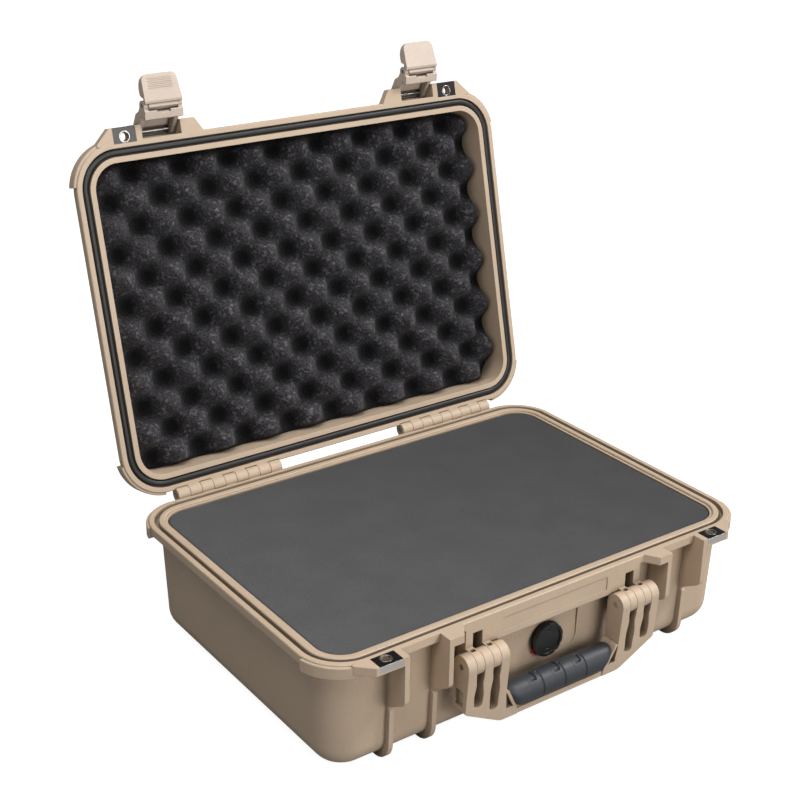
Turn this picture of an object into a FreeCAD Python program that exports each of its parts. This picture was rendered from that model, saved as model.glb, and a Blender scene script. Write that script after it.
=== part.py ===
import FreeCAD, Part
import math
import os
from FreeCAD import Vector

# Rigid laptop case, drawn with its lid open on its stop and its latches flipped up.
# Lengths are millimetres and angles degrees. X runs along the front, Y to the back, Z up.
# It is drawn round the middle of the opening; at the end every piece is moved along Y, so that the
# origin is on the ground under the middle of the open case.

# Overall form
OPENING_LENGTH = 425.0
OPENING_WIDTH = 285.0
OPENING_CORNER = 24.0
BASE_DEPTH = 110.0
LID_DEPTH = 48.0
BASE_WALL = 6.5
LID_WALL = 5.0
FLOOR_THICKNESS = 4.5
LID_TOP_THICKNESS = 4.0
BASE_BOTTOM_ROUND = 20.0
LID_TOP_ROUND = 14.0
OUTER_DRAFT = 2.0
INNER_DRAFT = 1.0

# Rim: ledge, ridge, groove and lip of the base; lip, seal groove and lip of the lid
LEDGE_WIDTH = 2.6
LEDGE_DROP = 1.6
RIDGE_WIDTH = 5.4
GROOVE_WIDTH = 4.0
GROOVE_DEPTH = 5.0
OUTER_LIP_WIDTH = 5.0
FLANGE_HEIGHT = 7.5
EDGE_CHAMFER = 0.7
PARTING_GAP = 0.35
LID_LIP_SETBACK = 0.5
LID_LIP_WIDTH = 5.0
SEAL_GROOVE_DEPTH = 5.0
SEAL_HEIGHT = 4.4
SEAL_SIDE_GAP = 0.9
SEAL_SEAT_GAP = 0.05
SEAL_CROWN_ROUND = 2.4

# Corner guards that stand proud of the rim
GUARD_PROUD = 2.5
GUARD_HEIGHT = 11.5
GUARD_STEP = 1.2
GUARD_REACH_X = 20.5
GUARD_REACH_Y = 16.5

# Feet that continue the base ribs under the floor
FOOT_HEIGHT = 4.5
FOOT_RIB_PROUD = 5.0
FOOT_LENGTH = 26.0

# Latch stations: tabs, ribs and the recess between them
LATCH_HANDLE_GAP = 12.3
LATCH_RECESS_WIDTH = 38.5
RIB_THICKNESS = 4.5
TAB_REACH = 12.5
TAB_INNER_MARGIN = 10.0
TAB_INNER_RUN = 8.0
TAB_OUTER_MARGIN = 3.0
TAB_OUTER_RUN = 13.0
BASE_RIB_DROP = 45.0
BASE_RIB_FOOT_DROP = 61.0
BASE_RIB_ROUND = 6.0
LID_RIB_RISE = 22.0
LID_RIB_FOOT_RISE = 32.0
LID_RIB_ROUND = 6.0

# Padlock plates
PADLOCK_GAP = 1.5
PADLOCK_PLATE_WIDTH = 22.0
PADLOCK_PLATE_DEPTH = 14.0
PADLOCK_SHEET = 1.2
PADLOCK_TURN_DOWN = 6.2
PADLOCK_HOLE_RADIUS = 4.0
PADLOCK_HOLE_SETBACK = 8.5

# Latch. The arm swings on the lid and hooks under the base's flange; the lever swings on the arm.
# Each is drawn in its own frame: along it from its pivot, and out from the case when shut.
ARM_PIVOT_OUT = 5.4
ARM_PIVOT_RISE = 16.05
ARM_LENGTH = 32.0
ARM_SIDE_CLEARANCE = 0.55
ARM_CHEEK = 4.0
ARM_FRONT = 4.6
ARM_BACK = 6.2
ARM_SHOULDER = 17.0
ARM_NECK = 23.0
ARM_NECK_BACK = 2.8
ARM_CHEEK_ROUND = 4.0
ARM_EYE_RADIUS = 5.4
ARM_END_RADIUS = 4.6
ARM_HOOK_CLEARANCE = 0.4
ARM_HOOK_BITE = 6.4
ARM_WEB_LENGTH = 7.0
ARM_WEB_SLANT = 4.2
ARM_WEB_OUTER = 6.2
ARM_LIP_ROUND = 1.0
ARM_NOTCH_WIDTH = 13.0
ARM_NOTCH_DEPTH = 1.8
ARM_CLOSED_ANGLE = -180.0
ARM_OPEN_ANGLE = -134.9
LEVER_LENGTH = 25.6
LEVER_SIDE_CLEARANCE = 0.75
LEVER_TAPER = 1.5
LEVER_INNER = 7.8
LEVER_PLATE = 2.7
LEVER_BEVEL = 2.0
LEVER_TIP_PLATE = 3.6
LEVER_CROWN = 0.8
LEVER_CROWN_START = 9.0
LEVER_CROWN_END = 16.0
LEVER_CROWN_ROUND = 5.0
LEVER_CROWN_EDGE = 2.0
LEVER_TIP_ROUND = 6.0
LEVER_NOSE = 3.0
LEVER_NOSE_INNER = 5.0
LEVER_EYE_RADIUS = 4.5
LEVER_OPEN_ANGLE = -80.2
LATCH_PIN_RADIUS = 2.0
LATCH_SIDE_GAP = 0.4

# Handle block, knuckles, frame and grip
BLOCK_DROP = 29.0
BLOCK_ROUND = 3.0
PANEL_LENGTH = 115.0
PANEL_HEIGHT = 13.0
PANEL_DROP = 8.5
PANEL_DEPTH = 0.6
PANEL_CORNER = 1.5
HANDLE_PIVOT_OUT = 6.8
HANDLE_PIVOT_DROP = 34.5
HANDLE_INNER_X = 62.3
FINGER_WIDTH = 8.6
FINGER_GAP = 8.3
FINGER_RADIUS = 10.0
FINGER_CLEARANCE = 0.6
FINGER_WAVE = 0.8
FINGER_WAVE_PITCH = 12.0
FINGER_WAVE_ROUND = 9.0
KNUCKLE_SIDE_GAP = 0.3
KNUCKLE_FOOT_DROP = 58.0
KNUCKLE_POCKET_WIDTH = 4.8
KNUCKLE_POCKET_LENGTH = 4.0
KNUCKLE_POCKET_DEPTH = 2.5
WINDOW_TOP_DROP = 12.0
WINDOW_MARGIN = 0.6
HANDLE_PIN_RADIUS = 2.5
HANDLE_SLOT_DROP = 83.2
HANDLE_SLOT_STEP = 8.9
HANDLE_SLOT_ROUND = 4.0
HANDLE_SHOULDER_DROP = 77.0
HANDLE_BOTTOM_DROP = 98.5
HANDLE_ELBOW_X = 66.0
HANDLE_ELBOW_ROUND = 15.0
HANDLE_EDGE_ROUND = 4.0
HANDLE_BACK = 9.8
HANDLE_FOOT_FRONT = 5.2
HANDLE_POCKET_TOP_DROP = 57.0
HANDLE_POCKET_DROP = 72.0
HANDLE_POCKET_OUT = 3.2
HANDLE_POCKET_BACK = 6.3
HANDLE_POCKET_DEPTH = 3.0
CORNER_POCKET_TOP_DROP = 72.0
CORNER_POCKET_DROP = 88.4
CORNER_POCKET_SLANT = 1.6
CORNER_POCKET_DEPTH = 9.0
GRIP_STRIP = 3.0
GRIP_BAR_DEPTH = 11.0
GRIP_BAR_TOP_DROP = 76.0
GRIP_SILL_DEPTH = 13.0
GRIP_SILL_DROP = 93.5
GRIP_DROP = 82.5
GRIP_HALF_HEIGHT = 12.0
GRIP_HALF_DEPTH = 11.5
GRIP_LENGTH = 118.0
GRIP_END_SLANT = 11.7
GRIP_END_GAP = 0.3
GRIP_SETBACK = 1.8

# Rear hinge
HINGE_BACK = 5.2
HINGE_RISE = 1.5
HINGE_START_X = 71.7
HINGE_KNUCKLES = 9
HINGE_PITCH = 12.37
HINGE_KNUCKLE_RADIUS = 6.5
HINGE_SIDE_GAP = 0.37
HINGE_CLEARANCE = 0.6
HINGE_PIN_RADIUS = 2.5
HINGE_PIN_INSET = 1.0
HINGE_BRACKET_DROP = 24.0
LID_OPEN_ANGLE = 103.2

# Pressure valve
VALVE_DROP = 54.0
VALVE_RADIUS = 16.0
VALVE_COLLAR_DEPTH = 3.0
VALVE_CAP_DEPTH = 4.5
VALVE_CAP_RIM = 3.2
VALVE_CAP_DISH = 1.2
VALVE_NOTCHES = 12
VALVE_NOTCH_WIDTH = 1.5
VALVE_NOTCH_DEPTH = 0.8
VALVE_SLOT_LENGTH = 4.0
VALVE_SLOT_WIDTH = 1.2
VALVE_SLOT_RADIUS = 8.5
VALVE_STEM_RADIUS = 10.0
VALVE_STEM_TAIL = 4.0
VALVE_NUT_RADIUS = 13.0
VALVE_NUT_DEPTH = 3.0
VALVE_RING_RADIUS = 15.4
VALVE_RING_WIRE = 1.4
VALVE_POCKET_LENGTH = 72.0
VALVE_POCKET_DEPTH = 1.0
VALVE_POCKET_TOP_DROP = 30.0
VALVE_POCKET_DROP = 74.0
VALVE_POCKET_CORNER = 12.0

# Foam
FOAM_SIDE_GAP = 0.8
FOAM_TOP_DROP = 2.3
BOTTOM_PAD = 12.0
MIDDLE_FOAM = 46.0
FOAM_EDGE_SHARES = [0, 0.08, 0.3, 1]
LID_FOAM_BACKING = 14.0
LID_FOAM_PEAK = 21.0
LID_FOAM_PITCH = 47.0
LID_FOAM_PEAK_TOP = 11.0
LID_FOAM_VALLEY = 1.2
LID_FOAM_EDGE = 1.0

# Fits
FIXED_FIT = 0.02
RUNNING_FIT = 0.08
OVERRUN = 5.0
CORE_OVERLAP = 1.0
CORNER_SHARE = 0.49
EDGE_SHARE = 0.98

# Places that follow from the sizes above
HALF_LENGTH = OPENING_LENGTH / 2
HALF_WIDTH = OPENING_WIDTH / 2
FLANGE_OFFSET = LEDGE_WIDTH + RIDGE_WIDTH + GROOVE_WIDTH + OUTER_LIP_WIDTH
FLOOR = FOOT_HEIGHT
RIM = FOOT_HEIGHT + BASE_DEPTH
LIP = RIM + PARTING_GAP
LID_TOP = LIP + LID_DEPTH
FLANGE_FACE = -(HALF_WIDTH + FLANGE_OFFSET)
WALL_ROOT = -(HALF_WIDTH + BASE_WALL / 3)
BASE_ROOT_TOP = RIM - (GROOVE_DEPTH + FLANGE_HEIGHT) / 2
HINGE_Y = HALF_WIDTH + FLANGE_OFFSET + HINGE_BACK
HINGE_Z = RIM + HINGE_RISE
ARM_PIVOT = (FLANGE_FACE - ARM_PIVOT_OUT, LIP + ARM_PIVOT_RISE)
HANDLE_PIVOT = (FLANGE_FACE - HANDLE_PIVOT_OUT, RIM - HANDLE_PIVOT_DROP)
FINGER_PITCH = FINGER_WIDTH + FINGER_GAP
FINGER_STARTS = [HANDLE_INNER_X + FINGER_PITCH * place for place in range(3)]
HANDLE_OUTER_X = FINGER_STARTS[-1] + FINGER_WIDTH
BLOCK_HALF = FINGER_STARTS[-1] - KNUCKLE_SIDE_GAP
LATCH_X = HANDLE_OUTER_X + LATCH_HANDLE_GAP + RIB_THICKNESS + LATCH_RECESS_WIDTH / 2
PADLOCK_X = LATCH_X + LATCH_RECESS_WIDTH / 2 + RIB_THICKNESS + PADLOCK_GAP + PADLOCK_PLATE_WIDTH / 2
ARM_WIDTH = LATCH_RECESS_WIDTH - 2 * ARM_SIDE_CLEARANCE
LEVER_WIDTH = LATCH_RECESS_WIDTH - 2 * LEVER_SIDE_CLEARANCE
LEVER_TIP_WIDTH = LEVER_WIDTH - 2 * LEVER_TAPER


def tangent(angle):
    return math.tan(math.radians(angle))


def outline(corners, place):
    """Closed wire through (a, b) or (a, b, radius) corners, with tangent arcs at the radii."""
    count = len(corners)
    points = [FreeCAD.Vector(corner[0], corner[1], 0) for corner in corners]
    starts, arcs = [], []
    for index, corner in enumerate(corners):
        here = points[index]
        back = points[index - 1] - here
        ahead = points[(index + 1) % count] - here
        radius = corner[2] if len(corner) > 2 else 0
        if radius == 0:
            starts.append((here, here))
            arcs.append(None)
            continue
        half_turn = back.getAngle(ahead) / 2
        room = [edge.Length * (CORNER_SHARE if len(neighbour) > 2 else EDGE_SHARE)
                for edge, neighbour in ((back, corners[index - 1]), (ahead, corners[(index + 1) % count]))]
        reach = min([radius / math.tan(half_turn)] + room)
        radius = reach * math.tan(half_turn)
        back.normalize()
        ahead.normalize()
        bisector = (back + ahead).normalize()
        starts.append((here + back * reach, here + ahead * reach))
        arcs.append(here + bisector * (radius / math.sin(half_turn) - radius))
    edges = []
    for index in range(count):
        first, last = starts[index]
        if arcs[index]:
            edges.append(Part.Arc(place(first), place(arcs[index]), place(last)).toShape())
        edges.append(Part.LineSegment(place(last), place(starts[(index + 1) % count][0])).toShape())
    return Part.Wire(edges)


def from_side(corners, start, width):
    """Prism over a (y, z) outline, along X."""
    face = Part.Face(outline(corners, lambda p: Vector(start, p.x, p.y)))
    return face.extrude(Vector(width, 0, 0))


def from_front(corners, start, depth):
    """Prism over an (x, z) outline, along Y."""
    face = Part.Face(outline(corners, lambda p: Vector(p.x, start, p.y)))
    return face.extrude(Vector(0, depth, 0))


def from_above(corners, start, height):
    """Prism over an (x, y) outline, along Z."""
    face = Part.Face(outline(corners, lambda p: Vector(p.x, p.y, start)))
    return face.extrude(Vector(0, 0, height))


def box(low, high):
    size = [top - bottom for top, bottom in zip(high, low)]
    return Part.makeBox(size[0], size[1], size[2], Vector(*low))


def rod(radius, start, end, centre):
    """Cylinder along X about a (y, z) centre."""
    return Part.makeCylinder(radius, end - start, Vector(start, *centre), Vector(1, 0, 0))


def disc(radius, front, depth, centre):
    """Cylinder along Y about an (x, z) centre."""
    return Part.makeCylinder(radius, depth, Vector(centre[0], front, centre[1]), Vector(0, 1, 0))


def joined(first, *others):
    return first.fuse([shape for shape in others]).removeSplitter()


def mirrored(shape):
    return shape.mirror(Vector(0, 0, 0), Vector(1, 0, 0))


def both_sides(shape):
    return [shape, mirrored(shape)]


def plate_at(offset, low, high):
    """Solid plate with the opening's outline, moved out by the offset."""
    x, y = HALF_LENGTH + offset, HALF_WIDTH + offset
    corner = OPENING_CORNER + offset
    plan = [(-x, -y, corner), (x, -y, corner), (x, y, corner), (-x, y, corner)]
    return from_above(plan, low, high - low)


def round_opening(profile):
    """Carry a profile of (offset, z) corners round the opening's outline."""
    straight_x = HALF_LENGTH - OPENING_CORNER
    straight_y = HALF_WIDTH - OPENING_CORNER
    pieces = []
    for side in (-1, 1):
        front = outline(profile, lambda p: Vector(-straight_x, side * (HALF_WIDTH + p.x), p.y))
        pieces.append(Part.Face(front).extrude(Vector(2 * straight_x, 0, 0)))
        end = outline(profile, lambda p: Vector(side * (HALF_LENGTH + p.x), -straight_y, p.y))
        pieces.append(Part.Face(end).extrude(Vector(0, 2 * straight_y, 0)))
    for quarter in range(4):
        angle = math.radians(90 * quarter)
        turn_x, turn_y = round(math.cos(angle)), round(math.sin(angle))
        right, back = turn_x - turn_y, turn_x + turn_y
        centre = Vector(right * straight_x, back * straight_y, 0)
        start = outline(profile, lambda p: centre + Vector(turn_x, turn_y, 0) * (OPENING_CORNER + p.x)
                        + Vector(0, 0, p.y))
        pieces.append(Part.Face(start).revolve(centre, Vector(0, 0, 1), 90))
    return joined(*pieces)


def filled(profile, core, low, high):
    """A profile carried round the opening, with the plate that closes its middle."""
    return joined(round_opening(profile), plate_at(core, low, high))


def inner_wall(z):
    """Offset of the base's inner wall at a height."""
    return -(RIM - z) * tangent(INNER_DRAFT)


def lid_inner_wall(z):
    return -LID_LIP_SETBACK - (z - LIP) * tangent(INNER_DRAFT)


def opened(shape):
    """Turn a piece drawn on the closed lid to the open lid."""
    turned = shape.copy()
    turned.rotate(Vector(0, HINGE_Y, HINGE_Z), Vector(1, 0, 0), -LID_OPEN_ANGLE)
    return turned


def base_tub():
    floor_top = FLOOR + FLOOR_THICKNESS
    inner_round = BASE_BOTTOM_ROUND - FLOOR_THICKNESS
    inner_foot = inner_wall(floor_top)
    outer_foot = BASE_WALL - BASE_DEPTH * tangent(OUTER_DRAFT)
    core = min(inner_foot - inner_round, outer_foot - BASE_BOTTOM_ROUND) - CORE_OVERLAP
    ridge_out = LEDGE_WIDTH + RIDGE_WIDTH
    groove_out = ridge_out + GROOVE_WIDTH
    profile = [
        (core, floor_top), (inner_foot, floor_top, inner_round),
        (0, RIM - LEDGE_DROP), (LEDGE_WIDTH, RIM - LEDGE_DROP), (LEDGE_WIDTH, RIM - EDGE_CHAMFER),
        (LEDGE_WIDTH + EDGE_CHAMFER, RIM), (ridge_out - EDGE_CHAMFER, RIM),
        (ridge_out, RIM - EDGE_CHAMFER), (ridge_out, RIM - GROOVE_DEPTH),
        (groove_out, RIM - GROOVE_DEPTH), (groove_out, RIM),
        (FLANGE_OFFSET - EDGE_CHAMFER, RIM), (FLANGE_OFFSET, RIM - EDGE_CHAMFER),
        (FLANGE_OFFSET, RIM - FLANGE_HEIGHT), (BASE_WALL, RIM - FLANGE_HEIGHT),
        (outer_foot, FLOOR, BASE_BOTTOM_ROUND), (core, FLOOR)]
    return filled(profile, core, FLOOR, floor_top)


def corner_guards(face, inward):
    """Proud bands round the four corners; face is the parting side, inward the way to the body."""
    out = FLANGE_OFFSET + GUARD_PROUD
    inner = FLANGE_OFFSET - OUTER_LIP_WIDTH / 2
    step = face + inward * GUARD_STEP
    far = face + inward * GUARD_HEIGHT
    profile = [(inner, step), (out - EDGE_CHAMFER, step), (out, step + inward * EDGE_CHAMFER), (out, far),
               (inner, far)]
    band = round_opening(profile if inward > 0 else profile[::-1])
    low, high = min(step, far) - OVERRUN, max(step, far) + OVERRUN
    far_x, far_y = HALF_LENGTH + out + OVERRUN, HALF_WIDTH + out + OVERRUN
    near_x, near_y = HALF_LENGTH - GUARD_REACH_X, HALF_WIDTH - GUARD_REACH_Y
    corners = []
    for x in (-1, 1):
        for y in (-1, 1):
            xs, ys = sorted((x * near_x, x * far_x)), sorted((y * near_y, y * far_y))
            corners.append(band.common(box((xs[0], ys[0], low), (xs[1], ys[1], high))))
    return corners


def tab_pieces(face, inward):
    """Left and right front tabs, without their recesses."""
    inner = LATCH_X - LATCH_RECESS_WIDTH / 2 - RIB_THICKNESS - TAB_INNER_MARGIN
    outer = PADLOCK_X + PADLOCK_PLATE_WIDTH / 2 + TAB_OUTER_MARGIN
    root, nose = FLANGE_FACE + OUTER_LIP_WIDTH / 2, FLANGE_FACE - TAB_REACH
    plan = [(inner - TAB_INNER_RUN, root), (inner - TAB_INNER_RUN, FLANGE_FACE), (inner, nose), (outer, nose),
            (outer + TAB_OUTER_RUN, FLANGE_FACE), (outer + TAB_OUTER_RUN, root)]
    low = min(face, face + inward * FLANGE_HEIGHT)
    return both_sides(from_above(plan, low, FLANGE_HEIGHT))


def latch_recess(face, inward):
    """What is cut out of a tab so that the latch reaches the flange."""
    half = LATCH_RECESS_WIDTH / 2
    low = min(face, face + inward * FLANGE_HEIGHT) - OVERRUN
    high = low + FLANGE_HEIGHT + 2 * OVERRUN
    nose = FLANGE_FACE - TAB_REACH - OVERRUN
    return both_sides(box((LATCH_X - half, nose, low), (LATCH_X + half, FLANGE_FACE, high)))


def rib_starts():
    half = LATCH_RECESS_WIDTH / 2
    return [LATCH_X - half - RIB_THICKNESS, LATCH_X + half]


def latch_ribs(side):
    pieces = []
    for start in rib_starts():
        pieces += both_sides(from_side(side, start, RIB_THICKNESS))
    return pieces


def base_ribs():
    nose = FLANGE_FACE - TAB_REACH
    side = [(WALL_ROOT, BASE_ROOT_TOP), (nose, BASE_ROOT_TOP),
            (nose, RIM - BASE_RIB_DROP, BASE_RIB_ROUND), (WALL_ROOT, RIM - BASE_RIB_FOOT_DROP)]
    return latch_ribs(side)


def foot_ribs():
    """Low ribs that run down the wall and under the floor, at the front and at the back."""
    outer_foot = HALF_WIDTH + BASE_WALL - BASE_DEPTH * tangent(OUTER_DRAFT)
    top = RIM - BASE_RIB_FOOT_DROP + FOOT_RIB_PROUD
    outer_top = HALF_WIDTH + BASE_WALL - (RIM - top) * tangent(OUTER_DRAFT)
    inside = outer_foot - BASE_BOTTOM_ROUND - FOOT_LENGTH
    floor_middle = FLOOR + FLOOR_THICKNESS / 2
    in_wall = BASE_WALL / 3
    side = [(outer_top - in_wall, top), (outer_top + FOOT_RIB_PROUD, top - FOOT_RIB_PROUD),
            (outer_foot + FOOT_RIB_PROUD, 0, BASE_BOTTOM_ROUND), (inside, 0),
            (inside - FOOT_HEIGHT, floor_middle),
            (outer_foot - in_wall, floor_middle, BASE_BOTTOM_ROUND - FLOOR_THICKNESS / 2)]
    pieces = []
    for start in rib_starts():
        back = from_side(side, start, RIB_THICKNESS)
        front = back.mirror(Vector(0, 0, 0), Vector(0, 1, 0))
        pieces += both_sides(back) + both_sides(front)
    return pieces


def knuckle_spans():
    """X spans of the handle knuckles, between the fingers of one leg."""
    return [(start - FINGER_GAP + KNUCKLE_SIDE_GAP, start - KNUCKLE_SIDE_GAP) for start in FINGER_STARTS[1:]]


def handle_mounting():
    """Block under the rim with the knuckles that carry the handle."""
    bottom = RIM - BLOCK_DROP
    side = [(WALL_ROOT, BASE_ROOT_TOP), (FLANGE_FACE, BASE_ROOT_TOP), (FLANGE_FACE, bottom, BLOCK_ROUND),
            (WALL_ROOT, bottom)]
    block = from_side(side, -BLOCK_HALF, 2 * BLOCK_HALF)
    pieces = [block]
    y, z = HANDLE_PIVOT
    for start, end in knuckle_spans():
        side = [(WALL_ROOT, z + FINGER_RADIUS), (y, z + FINGER_RADIUS), (y, z - FINGER_RADIUS),
                (y + HANDLE_BACK + FINGER_CLEARANCE, z - FINGER_RADIUS), (WALL_ROOT, RIM - KNUCKLE_FOOT_DROP)]
        web = from_side(side, start, end - start)
        pieces += both_sides(joined(web, rod(FINGER_RADIUS, start, end, HANDLE_PIVOT)))
    return pieces


def handle_cuts():
    """Room for the handle's fingers, the windows above them, the bare panel and the pin bores."""
    cuts = []
    y, z = HANDLE_PIVOT
    sweep = FINGER_RADIUS + FINGER_CLEARANCE
    for start in FINGER_STARTS:
        low, high = start - KNUCKLE_SIDE_GAP, start + FINGER_WIDTH + KNUCKLE_SIDE_GAP
        cuts += both_sides(rod(sweep, low, high, HANDLE_PIVOT))
        below = box((low, y - sweep, RIM - BASE_DEPTH), (high, y + sweep, z))
        cuts += both_sides(below)
    middle = FINGER_STARTS[1]
    window_end = middle + FINGER_WIDTH + WINDOW_MARGIN
    half = KNUCKLE_POCKET_WIDTH / 2
    for start, end in knuckle_spans():
        centre, top = (start + end) / 2, z + FINGER_RADIUS
        cuts += both_sides(box((centre - half, y, top - KNUCKLE_POCKET_DEPTH),
                               (centre + half, y + KNUCKLE_POCKET_LENGTH, top + OVERRUN)))
    window = box((middle - WINDOW_MARGIN, FLANGE_FACE - OVERRUN, z),
                 (window_end, -(HALF_WIDTH + BASE_WALL), RIM - WINDOW_TOP_DROP))
    cuts += both_sides(window)
    cuts += both_sides(rod(HANDLE_PIN_RADIUS + FIXED_FIT, 0, HANDLE_OUTER_X + OVERRUN, HANDLE_PIVOT))
    half, top = PANEL_LENGTH / 2, RIM - PANEL_DROP
    panel = [(-half, top, PANEL_CORNER), (half, top, PANEL_CORNER),
             (half, top - PANEL_HEIGHT, PANEL_CORNER), (-half, top - PANEL_HEIGHT, PANEL_CORNER)]
    cuts.append(from_front(panel, FLANGE_FACE - OVERRUN, OVERRUN + PANEL_DEPTH))
    return cuts


def valve_face():
    """Front of the wall at the valve's pocket."""
    return -(HALF_WIDTH + BASE_WALL - VALVE_DROP * tangent(OUTER_DRAFT)) + VALVE_POCKET_DEPTH


def valve_seat_cuts():
    half, centre = VALVE_POCKET_LENGTH / 2, (0, RIM - VALVE_DROP)
    top, bottom = RIM - VALVE_POCKET_TOP_DROP, RIM - VALVE_POCKET_DROP
    pocket = from_front([(-half, top), (half, top), (half, bottom, VALVE_POCKET_CORNER),
                         (-half, bottom, VALVE_POCKET_CORNER)], valve_face() - OVERRUN, OVERRUN)
    bore = disc(VALVE_STEM_RADIUS + FIXED_FIT, valve_face() - OVERRUN, BASE_WALL + 2 * OVERRUN, centre)
    return [pocket, bore]


def hinge_spans(side):
    """X spans of the hinge knuckles; even places belong to the base and odd ones to the lid."""
    spans = []
    for place in range(side, HINGE_KNUCKLES, 2):
        start = HINGE_START_X + place * HINGE_PITCH + HINGE_SIDE_GAP / 2
        spans.append((start, start + HINGE_PITCH - HINGE_SIDE_GAP))
    return spans


def hinge_knuckles(side, web):
    axis = (HINGE_Y, HINGE_Z)
    pieces = []
    for start, end in hinge_spans(side):
        arm = from_side(web, start, end - start)
        pieces += both_sides(joined(arm, rod(HINGE_KNUCKLE_RADIUS, start, end, axis)))
    return pieces


def hinge_cuts(side, fit):
    """Room for the other leaf's knuckles, and the pin bore."""
    axis = (HINGE_Y, HINGE_Z)
    cuts = []
    for start, end in hinge_spans(1 - side):
        low, high = start - HINGE_SIDE_GAP, end + HINGE_SIDE_GAP
        cuts += both_sides(rod(HINGE_KNUCKLE_RADIUS + HINGE_CLEARANCE, low, high, axis))
    length = HINGE_START_X + HINGE_KNUCKLES * HINGE_PITCH + OVERRUN
    cuts += both_sides(rod(HINGE_PIN_RADIUS + fit, HINGE_START_X - OVERRUN, length, axis))
    return cuts


def base_hinge():
    root = HALF_WIDTH + BASE_WALL / 3
    lip = HALF_WIDTH + FLANGE_OFFSET - OUTER_LIP_WIDTH / 2
    low = HINGE_Z - HINGE_KNUCKLE_RADIUS
    top = RIM - EDGE_CHAMFER
    web = [(root, BASE_ROOT_TOP), (lip, BASE_ROOT_TOP), (lip, top), (HINGE_Y, top), (HINGE_Y, low),
           (root, RIM - HINGE_BRACKET_DROP)]
    return hinge_knuckles(0, web)


def padlock_side(face, inward):
    """Side outline of the folded sheet: flat on the tab and turned over its nose."""
    nose = FLANGE_FACE - TAB_REACH
    back = nose + PADLOCK_PLATE_DEPTH
    under = face + inward * PADLOCK_SHEET
    end = face + inward * PADLOCK_TURN_DOWN
    inside = nose + PADLOCK_SHEET
    return [(back, face), (nose, face), (nose, end), (inside, end), (inside, under), (back, under)]


def padlock_plate(face, inward):
    start = PADLOCK_X - PADLOCK_PLATE_WIDTH / 2
    return from_side(padlock_side(face, inward), start, PADLOCK_PLATE_WIDTH)


def padlock_hole():
    y = FLANGE_FACE - TAB_REACH + PADLOCK_HOLE_SETBACK
    low = RIM - FLANGE_HEIGHT - OVERRUN
    height = LIP + FLANGE_HEIGHT + OVERRUN - low
    return Part.makeCylinder(PADLOCK_HOLE_RADIUS, height, Vector(PADLOCK_X, y, low))


def base_shell():
    body = joined(base_tub(), *corner_guards(RIM, -1), *tab_pieces(RIM, -1), *base_ribs(), *foot_ribs(),
                  *handle_mounting(), *base_hinge())
    cuts = latch_recess(RIM, -1) + handle_cuts() + valve_seat_cuts() + hinge_cuts(0, FIXED_FIT)
    cuts += both_sides(padlock_plate(RIM, -1)) + both_sides(padlock_hole())
    return body.cut(cuts)


def lid_tub():
    inner_top = LID_TOP - LID_TOP_THICKNESS
    inner_round = LID_TOP_ROUND - LID_TOP_THICKNESS
    outer_edge = LID_WALL - LID_DEPTH * tangent(OUTER_DRAFT)
    inner_edge = lid_inner_wall(inner_top)
    core = min(inner_edge - inner_round, outer_edge - LID_TOP_ROUND) - CORE_OVERLAP
    groove_in = LID_LIP_WIDTH - LID_LIP_SETBACK
    groove_out = FLANGE_OFFSET - OUTER_LIP_WIDTH
    profile = [
        (core, LID_TOP), (outer_edge, LID_TOP, LID_TOP_ROUND), (LID_WALL, LIP + FLANGE_HEIGHT),
        (FLANGE_OFFSET, LIP + FLANGE_HEIGHT), (FLANGE_OFFSET, LIP + EDGE_CHAMFER),
        (FLANGE_OFFSET - EDGE_CHAMFER, LIP), (groove_out, LIP), (groove_out, LIP + SEAL_GROOVE_DEPTH),
        (groove_in, LIP + SEAL_GROOVE_DEPTH), (groove_in, LIP), (-LID_LIP_SETBACK, LIP),
        (inner_edge, inner_top, inner_round), (core, inner_top)]
    return filled(profile, core, inner_top, LID_TOP)


def lid_hinge():
    root = HALF_WIDTH + FLANGE_OFFSET - OUTER_LIP_WIDTH / 2
    low, high = LIP + EDGE_CHAMFER, LIP + FLANGE_HEIGHT
    web = [(root, low), (HINGE_Y, low), (HINGE_Y, HINGE_Z + HINGE_KNUCKLE_RADIUS), (root, high)]
    return hinge_knuckles(1, web)


def lid_ribs():
    nose = FLANGE_FACE - TAB_REACH
    root = -(HALF_WIDTH + LID_WALL / 3)
    low = LIP + (SEAL_GROOVE_DEPTH + FLANGE_HEIGHT) / 2
    side = [(root, low), (nose, low), (nose, LIP + LID_RIB_RISE, LID_RIB_ROUND),
            (root, LIP + LID_RIB_FOOT_RISE)]
    return latch_ribs(side)


def lid_shell():
    body = joined(lid_tub(), *corner_guards(LIP, 1), *tab_pieces(LIP, 1), *lid_ribs(), *lid_hinge())
    cuts = latch_recess(LIP, 1) + hinge_cuts(1, RUNNING_FIT)
    cuts += both_sides(padlock_plate(LIP, 1)) + both_sides(padlock_hole())
    half = LATCH_RECESS_WIDTH / 2 + RIB_THICKNESS + OVERRUN
    cuts += both_sides(rod(LATCH_PIN_RADIUS + FIXED_FIT, LATCH_X - half, LATCH_X + half, ARM_PIVOT))
    return opened(body.cut(cuts))


def lid_seal():
    """Solid rubber seal with a round crown, short of the ridge that would press on it."""
    groove_in = LID_LIP_WIDTH - LID_LIP_SETBACK
    groove_out = FLANGE_OFFSET - OUTER_LIP_WIDTH
    low, high = groove_in + SEAL_SIDE_GAP, groove_out - SEAL_SIDE_GAP
    top = LIP + SEAL_GROOVE_DEPTH - SEAL_SEAT_GAP
    crown = top - SEAL_HEIGHT
    return opened(round_opening([(low, top), (high, top), (high, crown, SEAL_CROWN_ROUND),
                                 (low, crown, SEAL_CROWN_ROUND)]))


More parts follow.
